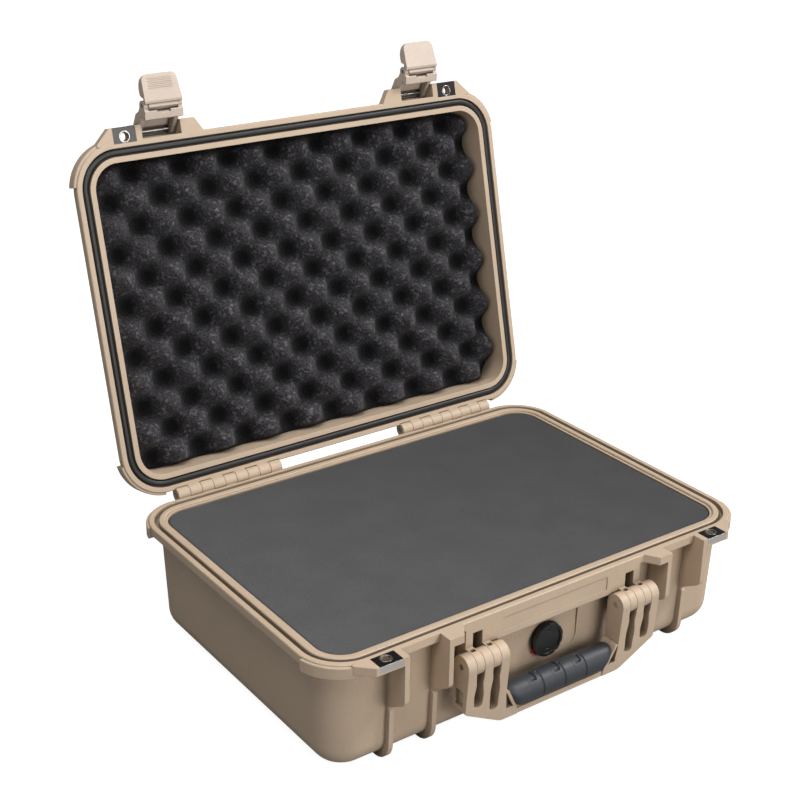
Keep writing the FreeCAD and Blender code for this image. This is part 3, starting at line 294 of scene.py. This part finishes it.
def bumped(tree, height, strength, distance, normal=None):
    """Normal that follows a height's relief, on top of another normal where one is given."""
    sockets = {"Height": height, "Strength": strength, "Distance": distance}
    if normal is not None:
        sockets["Normal"] = normal
    return add_node(tree, "ShaderNodeBump", sockets).outputs["Normal"]


def start_material(name):
    """A material with an empty tree, and the object coordinates that place its textures."""
    material = bpy.data.materials.new(name)
    material.use_nodes = True
    material.node_tree.nodes.clear()
    tree = material.node_tree
    return material, tree, add_node(tree, "ShaderNodeTexCoord").outputs["Object"]


def finish_material(tree, sockets):
    """Sends the sockets' values through one shader to the material's output."""
    surface = add_node(tree, "ShaderNodeBsdfPrincipled", sockets)
    add_node(tree, "ShaderNodeOutputMaterial", {"Surface": surface.outputs["BSDF"]})


def thumb_lines(tree, place, centre, pitch):
    """Height of fine ridges along X, on the outer half of a lever that leans back.

    It is a sine along the lever, one wave a pitch, cut off in its valleys and at its tops, times a fade
    towards each edge of the ridges' patch."""
    near = add_node(tree, "ShaderNodeVectorMath", {0: place, 1: centre}, operation="SUBTRACT").outputs[0]
    along = dot(tree, near, (0, math.sin(LEVER_LEAN), math.cos(LEVER_LEAN)))
    across = maths(tree, "ABSOLUTE", add_node(tree, "ShaderNodeSeparateXYZ", {"Vector": near}).outputs["X"])
    wave = maths(tree, "SINE", maths(tree, "MULTIPLY", along, 2 * math.pi / pitch))
    height = remap(tree, wave, -0.2, 0.9)
    for value, fade in ((along, RIDGES_IN), (along, RIDGES_OUT), (across, RIDGES_ASIDE)):
        height = maths(tree, "MULTIPLY", height, remap(tree, value, *fade))
    return height


def moulded_plastic(name, colour, grain, edge_round, rough=0.5, depth=0.12, lines=None):
    """Moulded plastic with a spark-eroded texture.

    The pits break the light into a soft sheen, flow clouds shift the colour and gloss a little, and handled
    edges are paler. Painted shade darkens corners, slots and pockets the less they open within its reach."""
    material, tree, place = start_material(name)
    rounded = bevelled(tree, edge_round)
    normal = add_node(tree, "ShaderNodeNewGeometry").outputs["Normal"]
    edge = remap(tree, dot(tree, rounded, normal), 0.995, 0.85)
    clouds = noise(tree, place, 1 / CLOUDS, 3.0, 0.6)
    pits = noise(tree, place, 1 / grain, 2.0, 0.7)
    tone = mix_colours(tree, clouds, tint(colour, 0.88), tint(colour, 1.10))
    tone = scale_colour(tree, tone, remap(tree, pits, 0.3, 0.7, 0.95, 1.04))
    tone = mix_colours(tree, maths(tree, "MULTIPLY", edge, 0.35), tone, tint(colour, 1.22))
    # painted shade: ambient occlusion darkens the colour in corners, slots, pockets and gaps
    opening = add_node(tree, "ShaderNodeAmbientOcclusion", {"Distance": SHADE_REACH}, samples=4).outputs["AO"]
    tone = scale_colour(tree, tone, remap(tree, opening, 0.15, 0.75, 0.35, 1.0))
    gloss = remap(tree, clouds, 0.0, 1.0, rough - 0.06, rough + 0.06)
    bump = bumped(tree, pits, depth, 0.0004, rounded)
    if lines:
        ridges = thumb_lines(tree, place, *lines)
        bump = bumped(tree, ridges, 0.7, 0.0006, bump)
        # painted shade: the ridges are painted darker where they stand highest
        tone = scale_colour(tree, tone, remap(tree, ridges, 0.0, 1.0, 1.0, 0.86))
    finish_material(tree, {"Base Color": tone, "Roughness": gloss, "Normal": bump, "IOR": 1.49})
    return material


def open_cell_foam(name, colour, pores, contrast, depth, painted_glint=0.0, hollow_shade=1.0, painted_light=0.0):
    """Polyurethane foam cut from the block.

    Open cells make a dark speckle between paler struts, and the cut fuzz gives grazing light a soft sheen.
    The saw left the nap lying another way in soft patches. Some cells still have their skins, and these are
    painted paler as a painted highlight.
    Painted shade darkens the valleys by the map's height. Painted light makes the foam paler towards the
    front left and darker towards the back right."""
    material, tree, place = start_material(name)
    strut = remap(tree, cells(tree, place, 1 / pores)["Distance"], 0.15, 0.75, 1 - contrast, 1 + contrast)
    speck = remap(tree, noise(tree, place, 1.6 / pores, 3.0, 0.7), 0.3, 0.7, 1 - contrast, 1 + contrast)
    nap = remap(tree, noise(tree, place, 1 / NAP, 2.0, 0.5), 0.3, 0.7, 0.94, 1.06)
    skins = cells(tree, place, 0.8 / pores)["Color"]
    skinned = add_node(tree, "ShaderNodeSeparateColor", {"Color": skins}).outputs["Red"]
    # painted highlight: skinned cells, picked at random, are painted paler
    painted_glint_share = remap(tree, skinned, 0.72, 0.95, 1.0, 1 + painted_glint)
    spot = add_node(tree, "ShaderNodeUVMap", uv_map="height").outputs["UV"]
    height = add_node(tree, "ShaderNodeSeparateXYZ", {"Vector": spot}).outputs["X"]
    # painted shade: the map's height darkens the valleys, down to the given share at their bottoms
    deep = remap(tree, height, 0.16, 0.66, hollow_shade, 1.0)
    # painted light: the colour is paler towards the front left and darker towards the back right
    painted_light_falloff = remap(tree, dot(tree, place, (-1.0, -0.55, 0.0)), -0.25, 0.30, 1 - painted_light, 1 + painted_light)
    shade = strut
    for share in (speck, nap, painted_glint_share, deep, painted_light_falloff):
        shade = maths(tree, "MULTIPLY", shade, share)
    tone = scale_colour(tree, list(colour[:3]), shade)
    bump = bumped(tree, strut, depth, pores * 0.5)
    finish_material(tree, {"Base Color": tone, "Roughness": 0.95, "Normal": bump, "Sheen Weight": 0.05,
                           "Sheen Roughness": 0.6, "IOR": 1.45, "Specular IOR Level": 0.2})
    return material


def moulded_rubber(name, colour, grain, rough):
    """Moulded elastomer or nylon, matt from its mould, with a faint bloom in patches and softened edges."""
    material, tree, place = start_material(name)
    bloom = noise(tree, place, 1 / BLOOM, 4.0, 0.65)
    skin = noise(tree, place, 1 / grain, 2.0, 0.6)
    tone = mix_colours(tree, bloom, tint(colour, 0.85), tint(colour, 1.18))
    gloss = remap(tree, bloom, 0.0, 1.0, rough - 0.08, rough + 0.08)
    bump = bumped(tree, skin, 0.15, 0.0003, bevelled(tree, 0.0006))
    finish_material(tree, {"Base Color": tone, "Roughness": gloss, "Normal": bump, "IOR": 1.52})
    return material


def brushed_steel(name, colour, lines, rough, nose=None):
    """Stainless steel brushed along X: fine lines stretch the highlights, and bends catch a bright edge.

    The face that looks forwards can take a colour of its own: a painted reflection."""
    material, tree, place = start_material(name)
    stretched = add_node(tree, "ShaderNodeMapping", {"Vector": place, "Scale": (0.03, 1.0, 1.0)})
    brush = noise(tree, stretched.outputs["Vector"], 1 / lines, 3.0, 0.7)
    smudge = noise(tree, place, 1 / SMUDGES, 2.0, 0.5)
    tone = mix_colours(tree, smudge, tint(colour, 0.8), list(colour))
    if nose is not None:
        # painted reflection: faces that look forwards are painted towards the pale colour
        normal = add_node(tree, "ShaderNodeNewGeometry").outputs["Normal"]
        painted_light = remap(tree, dot(tree, normal, (0, -1, 0)), 0.3, 0.8)
        tone = mix_colours(tree, painted_light, tone, list(nose))
    gloss = remap(tree, brush, 0.0, 1.0, rough - 0.08, rough + 0.10)
    bump = bumped(tree, brush, 0.1, 0.0002, bevelled(tree, 0.0004))
    finish_material(tree, {"Base Color": tone, "Metallic": 1.0, "Roughness": gloss, "Normal": bump})
    return material


def dress(names, material):
    """Gives CAD nodes their finish, with their meshes as they are."""
    for name in names:
        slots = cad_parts[name].data.materials
        slots.clear()
        slots.append(material)


def sides(*names):
    return [name + "_" + side for name in names for side in ("left", "right")]


# Pieces

class CASE_OT_shells(bpy.types.Operator):
    """Gives the base, the lid and the handle's legs their textured plastic"""
    bl_idname = "case.shells"
    bl_label = "Shells"

    def execute(self, context):
        sizes, colours = context.scene.case_sizes, context.scene.case_colours
        plastic = moulded_plastic("moulded polypropylene, textured", colours.shell, sizes.shell_grain,
                                  sizes.edge_round)
        dress(["base_shell", "lid_shell", "handle_frame"], plastic)
        return {"FINISHED"}


class CASE_OT_latches(bpy.types.Operator):
    """Gives the latch arms and levers their smoother plastic, and each arm its outer skin"""
    bl_idname = "case.latches"
    bl_label = "Latches"
    # Pins of the open arms and levers: Y from the opening's middle, and Z. The arms lean so many degrees.
    arm_pin, arm_lean = (0.25447, 0.43349), -31.7
    lever_pin = (0.237656, 0.460715)
    cheek, ridge_pitch = 0.0035, 0.0016

    def execute(self, context):
        sizes, colours = context.scene.case_sizes, context.scene.case_colours
        # painted light: the latch colour stands for the shell's tan lit more brightly
        finish = {"colour": colours.latch, "grain": sizes.shell_grain, "edge_round": sizes.edge_round,
                  "rough": 0.42, "depth": 0.05}
        plastic = moulded_plastic("moulded nylon, satin", **finish)
        dress(sides("latch_arm") + ["latch_lever_right"], plastic)
        low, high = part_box("latch_lever_left")
        centre = ((low.x + high.x) / 2, self.lever_pin[0] + MIDDLE_Y, self.lever_pin[1])
        lined = moulded_plastic("moulded nylon, thumb lines", **finish, lines=(centre, self.ridge_pitch))
        dress(["latch_lever_left"], lined)
        for side in ("left", "right"):
            low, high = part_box("latch_arm_" + side)
            mesh = self.skin("latch_skin_" + side, low.x + self.cheek, high.x - self.cheek)
            add_piece("latch_skin_" + side, mesh, "latch_arm_" + side, plastic)
        return {"FINISHED"}

    def skin(self, name, start, end):
        """The arm's outer skin between its cheeks: a sheet that is rolled round the pin and then bowed.

        Its profile is an arc round the pin, then half a sine on a falling line, with the inner face a
        thickness below. It is drawn in millimetres, along the arm from its pin and outwards from the line
        of its two pins, and carried along X."""
        roll, roll_start, roll_end = 4.8, 238, 38
        near, far, lift, swell, fall = 4.2, 24.5, 2.6, 1.6, 0.05
        thickness = 1.4
        lean = math.radians(self.arm_lean)
        along = np.array([math.sin(lean), math.cos(lean)])
        outwards = np.array([math.cos(lean), -math.sin(lean)])
        turn = np.radians(np.linspace(roll_start, roll_end, 18))
        reach = np.linspace(near, far, 25)
        bow = lift + swell * np.sin(np.pi * (reach - near) / (far - near)) - fall * (reach - near)
        reach = np.concatenate([roll * np.cos(turn), reach])
        bow = np.concatenate([roll * np.sin(turn), bow])
        x = np.linspace(start, end, 9)[None, :]
        shape = (len(reach), x.size)
        faces = []
        for sunk in (0.0, thickness):
            profile = np.outer(reach, along) + np.outer(bow - sunk, outwards)
            place = np.array(self.arm_pin) + profile * MILLIMETRE
            faces.append(np.stack([np.broadcast_to(x, shape), np.broadcast_to(place[:, :1] + MIDDLE_Y, shape),
                                   np.broadcast_to(place[:, 1:], shape)], -1))
        return block_mesh(name, *faces)


class CASE_OT_metal(bpy.types.Operator):
    """Gives the padlock plates and the pins their brushed steel, and each padlock hole its rim"""
    bl_idname = "case.metal"
    bl_label = "Plates and pins"
    # The hole's middle is so far behind the plate's nose. Its rim's wire is pressed flat, and stands 0.15 mm
    # proud on each side of the parting gap, so that the rims clear each other when the lid is shut.
    hole_back, rim_radius, rim_wire, rim_squash = 0.0085, 0.0047, 0.0006, 0.25

    def execute(self, context):
        colours = context.scene.case_colours
        plate = brushed_steel("stainless steel sheet, brushed", colours.plate, lines=0.0006, rough=0.34)
        # the base's plates carry a painted reflection on their front faces
        painted_light = brushed_steel("stainless steel sheet, nose rubbed", colours.plate, lines=0.0006, rough=0.30,
                               nose=colours.nose)
        pin = brushed_steel("stainless steel rod, turned", colours.steel, lines=0.0004, rough=0.25)
        dress(sides("padlock_plate_lid"), plate)
        dress(sides("padlock_plate_base"), painted_light)
        dress(sides("hinge_pin", "handle_pin", "latch_pin", "latch_lever_pin"), pin)
        wire = (self.rim_radius, self.rim_wire, self.rim_squash)
        for side in ("left", "right"):
            low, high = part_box("padlock_plate_base_" + side)
            centre = np.array([(low.x + high.x) / 2, low.y + self.hole_back, RIM])
            below = ring_points(centre, *wire)
            above = open_lid(ring_points(centre + [0, 0, PARTING], *wire))
            for body, points in (("base", below), ("lid", above)):
                name = "padlock_rim_" + body + "_" + side
                add_piece(name, make_mesh(name, points, ring_faces()), body, pin)
        return {"FINISHED"}


class CASE_OT_base_foam(bpy.types.Operator):
    """Lays three sheets of flat foam in the base, with softened cut edges"""
    bl_idname = "case.base_foam"
    bl_label = "Base foam"
    # Width of the softened edges, how much smaller the corners are than the opening's, and the walls' draft
    softness, corner_room, draft = 0.002, 0.002, math.tan(math.radians(1.0))
    # Only the lowest sheet starts under this height. Its lower face leaves room for the floor's rounding.
    floor_top, floor_round = 0.010, 0.0155
    step, edge_width, edge_steps = 0.006, 0.004, 5

    def execute(self, context):
        sizes, colours = context.scene.case_sizes, context.scene.case_colours
        # painted light: the base foam is painted paler towards the front left
        foam = open_cell_foam("polyether foam, fine cells", colours.flat_foam, sizes.flat_pores,
                              contrast=0.10, depth=0.25, painted_light=0.30)
        for node in ("base_foam_top", "base_foam_middle", "base_foam_bottom"):
            low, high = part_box(node)
            mesh = self.cut_sheet(node + "_cut", low, high)
            piece = add_piece(node + "_cut", mesh, "base", foam, [node])
        return {"FINISHED"}

    def cut_sheet(self, name, low, high):
        """A block between two grids with rounded corners.

        Its faces are flat and fall away in a quarter circle within the softness of their edges, and its
        lower face is smaller by the draft of the wall round it."""
        half_x, half_y = (high.x - low.x) / 2, (high.y - low.y) / 2
        along = spread(half_x, self.step, self.edge_width, self.edge_steps)
        across = spread(half_y, self.step, self.edge_width, self.edge_steps)
        corner = OPENING_CORNER - self.corner_room
        narrower = (high.z - low.z) * self.draft + (self.floor_round if low.z < self.floor_top else 0.0)
        faces = []
        for level, inwards, inset in ((high.z, -1, 0.0), (low.z, 1, narrower)):
            reach_x, reach_y = half_x - inset, half_y - inset
            x, y = np.meshgrid(along * reach_x / half_x, across * reach_y / half_y, indexing="ij")
            x, y = round_corners(x, y, reach_x, reach_y, corner)
            inside = np.clip(edge_distance(x, y, reach_x, reach_y, corner) / self.softness, 0, 1)
            drop = self.softness * (1 - np.sqrt(np.maximum(0, 1 - (1 - inside) ** 2)))
            faces.append(np.stack([x, y + MIDDLE_Y, level + inwards * drop], -1))
        return block_mesh(name, *faces, heights=np.ones(2 * x.size))


class CASE_OT_lid_foam(bpy.types.Operator):
    """Presses the convoluted foam into the lid"""
    bl_idname = "case.lid_foam"
    bl_label = "Lid foam"
    # Where one peak stands, from the opening's middle
    start_x, start_y = 0.0075, 0.012
    # Heights of the back and the valleys in the shut lid, and the room left to the lid's wall
    back, valley, room = 0.15885, 0.14485, 0.0012
    step, edge_width, edge_steps = 0.0019, 0.003, 3
    # Power that blunts the valleys, the width that sinks at the cut edge, and the share of height left there
    power, sunk_width, edge_share = 1.1, 0.006, 0.55

    def execute(self, context):
        sizes, colours = context.scene.case_sizes, context.scene.case_colours
        # painted light: the lid foam gets painted highlights on skinned cells and painted shade in its
        # valleys
        foam = open_cell_foam("polyether foam, coarse cells", colours.lid_foam, sizes.foam_pores,
                              contrast=0.40, depth=0.7, painted_glint=1.6, hollow_shade=0.04)
        mesh = self.convoluted(sizes.foam_pitch, sizes.foam_rows, sizes.foam_peak)
        piece = add_piece("lid_foam_convoluted", mesh, "lid", foam, ["lid_foam"])
        return {"FINISHED"}

    def convoluted(self, pitch, rows_pitch, peak):
        """An egg-crate surface over a flat back.

        Its height is a wave along X times a wave along Y, raised to blunt the valleys, so that peaks stand
        in staggered rows. It sinks a little at the foam's cut edge."""
        half_x, half_y = HALF_LENGTH - self.room, HALF_WIDTH - self.room
        along = spread(half_x, self.step, self.edge_width, self.edge_steps)
        across = spread(half_y, self.step, self.edge_width, self.edge_steps)
        x, y = np.meshgrid(along, across, indexing="ij")
        x, y = round_corners(x, y, half_x, half_y, OPENING_CORNER)
        turn_x, turn_y = (x - self.start_x) / pitch, (y - self.start_y) / rows_pitch
        wave = 0.5 + 0.5 * np.cos(2 * np.pi * turn_x) * np.cos(2 * np.pi * turn_y)
        cut = np.clip(edge_distance(x, y, half_x, half_y, OPENING_CORNER) / self.sunk_width, 0, 1)
        wave = wave ** self.power * (self.edge_share + (1 - self.edge_share) * cut * (2 - cut))
        rear = np.stack([x, y + MIDDLE_Y, np.full_like(x, self.back)], -1)
        front = np.stack([x, y + MIDDLE_Y, self.valley - peak * wave], -1)
        heights = np.concatenate([np.zeros(wave.size), (wave * cut).ravel()])
        return block_mesh("lid_foam_convoluted", open_lid(rear), open_lid(front), heights=heights)


class CASE_OT_seal(bpy.types.Operator):
    """Gives the seal its soft black rubber"""
    bl_idname = "case.seal"
    bl_label = "Seal"

    def execute(self, context):
        dress(["lid_seal"], moulded_rubber("neoprene, extruded", context.scene.case_colours.seal,
                                           grain=0.0012, rough=0.45))
        return {"FINISHED"}


class CASE_OT_grip(bpy.types.Operator):
    """Gives the grip its overmoulded rubber"""
    bl_idname = "case.grip"
    bl_label = "Grip"
    # In millimetres. The grip's middle is so far in front of the opening's middle and so far below the rim.
    ahead, below = 164.5, 82.5
    half_depth, half_height, sill = 11.5, 12.0, -11.0
    # Half of its length at the top, and how much less that is at the sill
    half_length, slant = 58.7, 11.4
    # Shares of the half length that a rounded end takes, and of the thickness that is lost there
    end_share, end_shrink = 0.14, 0.30
    # Depth and half width of each kind of mark, then its places along X and its ends in degrees round it
    groove, slot, mould_line = (0.9, 0.75), (1.3, 1.0), (-0.22, 0.35)
    grooves = ((-22.7, -25, 95), (1.2, -25, 95), (24.8, -25, 95))
    slots = ((-28.3, 58, 113), (-2.2, 58, 121), (21.0, 56, 96))
    mould_lines = ((-36.0, -20, 65), (-10.3, -20, 65), (13.2, -20, 65))
    # A slot's foot makes it a J: how far aside it is, its half width, and its ends from the slot's lower end
    foot_aside, foot_half, foot_low, foot_high = -2.8, 2.9, -3, 5

    def execute(self, context):
        rubber = moulded_rubber("thermoplastic rubber, overmoulded", context.scene.case_colours.grip,
                                grain=0.0011, rough=0.50)
        add_piece("grip_overmould", self.barrel(), "handle", rubber, ["handle_grip"])
        return {"FINISHED"}

    def barrel(self):
        """An oval tube along X, flat below, that shrinks in a quarter round at its slanting ends.

        Curved grooves and short J-shaped slots are pressed in, and thin mould lines stand proud."""
        share = np.linspace(-1, 1, 421)[:, None]
        angle = np.linspace(0, 2 * np.pi, 145)[None, :-1]
        drop = self.half_height - np.sin(angle) * self.half_height
        x = share * (self.half_length - self.slant * np.clip(drop / (self.half_height - self.sill), 0, 1))
        end = np.clip((np.abs(share) - (1 - self.end_share)) / self.end_share, 0, 1)
        size = 1 - self.end_shrink * (1 - np.sqrt(1 - end ** 2))
        dent = self.dent(x, (np.degrees(angle) + 180) % 360 - 180)
        front = (self.half_depth * size - dent) * np.cos(angle)
        # the flat stays a hair above the sill
        rise = np.maximum((self.half_height * size - dent) * np.sin(angle), self.sill + 0.05)
        points = np.stack([x, MIDDLE_Y / MILLIMETRE - self.ahead - front,
                           RIM / MILLIMETRE - self.below + rise], -1)
        rows, columns = x.shape
        faces = grid_faces(rows, columns, around=True)[:, ::-1].tolist()
        faces += [list(range(columns)), list(range(rows * columns - 1, (rows - 1) * columns - 1, -1))]
        return make_mesh("grip_overmould", points * MILLIMETRE, faces)

    def dent(self, x, degrees):
        """How deep the marks go: the sum of each one's depth times its band along X and its span round it."""
        marks = [(*self.groove, *groove) for groove in self.grooves]
        depth, half = self.slot
        for place, low, high in self.slots:
            marks.append((depth, half, place, low, high))
            marks.append((depth, self.foot_half, place + self.foot_aside, low + self.foot_low,
                          low + self.foot_high))
        marks += [(*self.mould_line, *line) for line in self.mould_lines]
        return sum(depth * self.band(x, place, half) * self.span(degrees, low, high)
                   for depth, half, place, low, high in marks)

    def band(self, x, place, half):
        """One inside a band along X, with soft shoulders of 0.5 mm."""
        return np.clip((half + 0.25 - np.abs(x - place)) / 0.5, 0, 1)

    def span(self, degrees, low, high):
        """One between two angles round the grip, with soft ends of two degrees."""
        return np.clip((degrees - low) / 2 + 0.5, 0, 1) * np.clip((high - degrees) / 2 + 0.5, 0, 1)


class CASE_OT_valve(bpy.types.Operator):
    """Gives the pressure valve its black nylon and red ring"""
    bl_idname = "case.valve"
    bl_label = "Pressure valve"
    # The ring hangs a little low, and its lobe's middle and half width are degrees round it
    radius, lobe_reach, sag = 0.0117, 0.0040, 0.0006
    lobe_middle, lobe_half = 222, 17

    def execute(self, context):
        colours = context.scene.case_colours
        nylon = moulded_rubber("glass-filled nylon, moulded", colours.valve, grain=0.0009, rough=0.35)
        silicone = moulded_rubber("silicone rubber, moulded", colours.ring, grain=0.0008, rough=0.35)
        dress(["valve_body", "valve_cap", "valve_nut"], nylon)
        add_piece("valve_ring_slipped", self.ring(*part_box("valve_o_ring")), "base", silicone,
                  ["valve_o_ring"])
        return {"FINISHED"}

    def ring(self, low, high):
        """A torus round the stem, whose lobe looks out from under the cap at its lower left.

        The lobe adds its reach times a bell: e to the minus fourth power of the angle from its middle."""
        turn, round_wire = ring_angles()
        wire, centre = (high.y - low.y) / 2, (low + high) / 2
        lobe = np.exp(-((turn - math.radians(self.lobe_middle)) / math.radians(self.lobe_half)) ** 4)
        out = self.radius + self.lobe_reach * lobe + wire * np.cos(round_wire)
        points = np.stack([centre.x + out * np.cos(turn), centre.y + wire * np.sin(round_wire),
                           centre.z - self.sag + out * np.sin(turn)], -1)
        return make_mesh("valve_ring_slipped", points, ring_faces()[:, ::-1])


class CASE_OT_stage(bpy.types.Operator):
    """Sets up the pale floor, the soft lamps and the camera"""
    bl_idname = "case.stage"
    bl_label = "Stage"
    floor_half, paper_colour, paper_glow = 6.0, "#9A9A9A", 0.94
    # Name, place, width and watts: a large lamp at the upper right, weaker ones above, in front, near left
    lamps = (("key", (1.9, -1.1, 2.1), 1.0, 56), ("top", (-0.2, 0.1, 2.2), 1.2, 13),
             ("front", (0.5, -2.3, 0.8), 1.0, 21), ("near", (-0.5, -0.5, 1.0), 0.4, 3.2))
    aim, room_light = (0, 0, 0.15), 0.20
    # The camera's focal length and centre in pixels, its turns in degrees, its place from the rim's middle
    focal, centre_x, centre_y = 1497.94, 403.18, 402.64
    azimuth, elevation, roll = -36.05, 23.76, 0.79
    eye = (-0.73851, -0.95311, 0.63987)

    def execute(self, context):
        self.lay_floor(context.scene)
        self.light_room(context.scene)
        self.place_camera(context.scene)
        context.scene.view_settings.view_transform = "Standard"
        return {"FINISHED"}

    def lay_floor(self, scene):
        """A square of paper that is nearly white to the camera and keeps the case's shadow."""
        reach = self.floor_half
        corners = [(-reach, -reach, 0), (reach, -reach, 0), (reach, reach, 0), (-reach, reach, 0)]
        floor = bpy.data.objects.new("floor", make_mesh("floor", corners, [(0, 1, 2, 3)], smooth=False))
        scene.collection.objects.link(floor)
        material, tree, _ = start_material("studio paper")
        paper = add_node(tree, "ShaderNodeBsdfPrincipled", {"Base Color": linear(self.paper_colour),
                                                            "Roughness": 0.9})
        seen = add_node(tree, "ShaderNodeLightPath").outputs["Is Camera Ray"]
        dark = add_node(tree, "ShaderNodeEmission", {"Color": (0, 0, 0, 1), "Strength": 0.0})
        glow = add_node(tree, "ShaderNodeEmission", {"Color": (1, 1, 1, 1), "Strength": self.paper_glow})
        lift = add_node(tree, "ShaderNodeMixShader", {0: seen, 1: dark.outputs[0], 2: glow.outputs[0]})
        both = add_node(tree, "ShaderNodeAddShader", {0: paper.outputs[0], 1: lift.outputs[0]})
        add_node(tree, "ShaderNodeOutputMaterial", {"Surface": both.outputs[0]})
        floor.data.materials.append(material)

    def light_room(self, scene):
        """Soft lamps that look at the case's middle, in a pale room that is white to the camera."""
        for name, spot, width, power in self.lamps:
            lamp = bpy.data.lights.new(name, "AREA")
            lamp.shape, lamp.size, lamp.energy = "SQUARE", width, power
            holder = bpy.data.objects.new(name, lamp)
            scene.collection.objects.link(holder)
            back = np.array(spot) - np.array(self.aim)
            holder.matrix_world = facing(spot, back / np.linalg.norm(back), 0.0)
        scene.world = bpy.data.worlds.new("studio")
        scene.world.use_nodes = True
        tree = scene.world.node_tree
        tree.nodes.clear()
        path = add_node(tree, "ShaderNodeLightPath").outputs
        clear = maths(tree, "MAXIMUM", path["Is Camera Ray"], path["Is Transmission Ray"])
        plain = add_node(tree, "ShaderNodeBackground", {"Color": (1, 1, 1, 1), "Strength": self.room_light})
        white = add_node(tree, "ShaderNodeBackground", {"Color": (1, 1, 1, 1), "Strength": 1.0})
        both = add_node(tree, "ShaderNodeMixShader", {0: clear, 1: plain.outputs[0], 2: white.outputs[0]})
        add_node(tree, "ShaderNodeOutputWorld", {"Surface": both.outputs[0]})

    def place_camera(self, scene):
        """Stands where the photograph was taken from."""
        azimuth, elevation, roll = np.radians([self.azimuth, self.elevation, self.roll])
        back = np.array([math.sin(azimuth) * math.cos(elevation), -math.cos(azimuth) * math.cos(elevation),
                         math.sin(elevation)])
        camera = bpy.data.cameras.new("camera")
        camera.sensor_width = 36.0
        camera.lens = self.focal * camera.sensor_width / PICTURE
        camera.shift_x = (PICTURE / 2 - self.centre_x) / PICTURE
        camera.shift_y = (self.centre_y - PICTURE / 2) / PICTURE
        camera.clip_start, camera.clip_end = 0.05, 50.0
        holder = bpy.data.objects.new("camera", camera)
        scene.collection.objects.link(holder)
        holder.matrix_world = facing(np.array(self.eye) + [0, MIDDLE_Y, RIM], back, roll)
        scene.camera = holder


def facing(spot, back, roll):
    """Matrix of a lamp or camera at a spot: its Z looks back, its X is level, and both turn by the roll."""
    right = np.cross([0, 0, 1], back)
    right = right / np.linalg.norm(right)
    upward = np.cross(back, right)
    x = math.cos(roll) * right + math.sin(roll) * upward
    y = math.cos(roll) * upward - math.sin(roll) * right
    matrix = np.eye(4)
    matrix[:3, 0], matrix[:3, 1], matrix[:3, 2], matrix[:3, 3] = x, y, back, spot
    return Matrix(matrix.tolist())


class CASE_PT_pieces(bpy.types.Panel):
    """Lists the case's pieces, with the sizes and colours that they use"""
    bl_idname = "CASE_PT_pieces"
    bl_label = "Hard case"
    bl_space_type = "VIEW_3D"
    bl_region_type = "UI"
    bl_category = "Hard case"

    def draw(self, context):
        for operator in OPERATORS:
            self.layout.operator(operator.bl_idname)
        for settings in (context.scene.case_sizes, context.scene.case_colours):
            for name in settings.__annotations__:
                self.layout.prop(settings, name)


OPERATORS = (CASE_OT_shells, CASE_OT_latches, CASE_OT_metal, CASE_OT_base_foam, CASE_OT_lid_foam,
             CASE_OT_seal, CASE_OT_grip, CASE_OT_valve, CASE_OT_stage)
CLASSES = (CaseColours, CaseSizes) + OPERATORS + (CASE_PT_pieces,)


def register():
    for each in CLASSES:
        bpy.utils.register_class(each)
    bpy.types.Scene.case_sizes = PointerProperty(type=CaseSizes)
    bpy.types.Scene.case_colours = PointerProperty(type=CaseColours)


def unregister():
    del bpy.types.Scene.case_colours
    del bpy.types.Scene.case_sizes
    for each in reversed(CLASSES):
        bpy.utils.unregister_class(each)


def main():
    """Builds every piece in order."""
    register()
    for build in (bpy.ops.case.shells, bpy.ops.case.latches, bpy.ops.case.metal, bpy.ops.case.base_foam,
                  bpy.ops.case.lid_foam, bpy.ops.case.seal, bpy.ops.case.grip, bpy.ops.case.valve,
                  bpy.ops.case.stage):
        build()


if __name__ == "__main__":
    main()
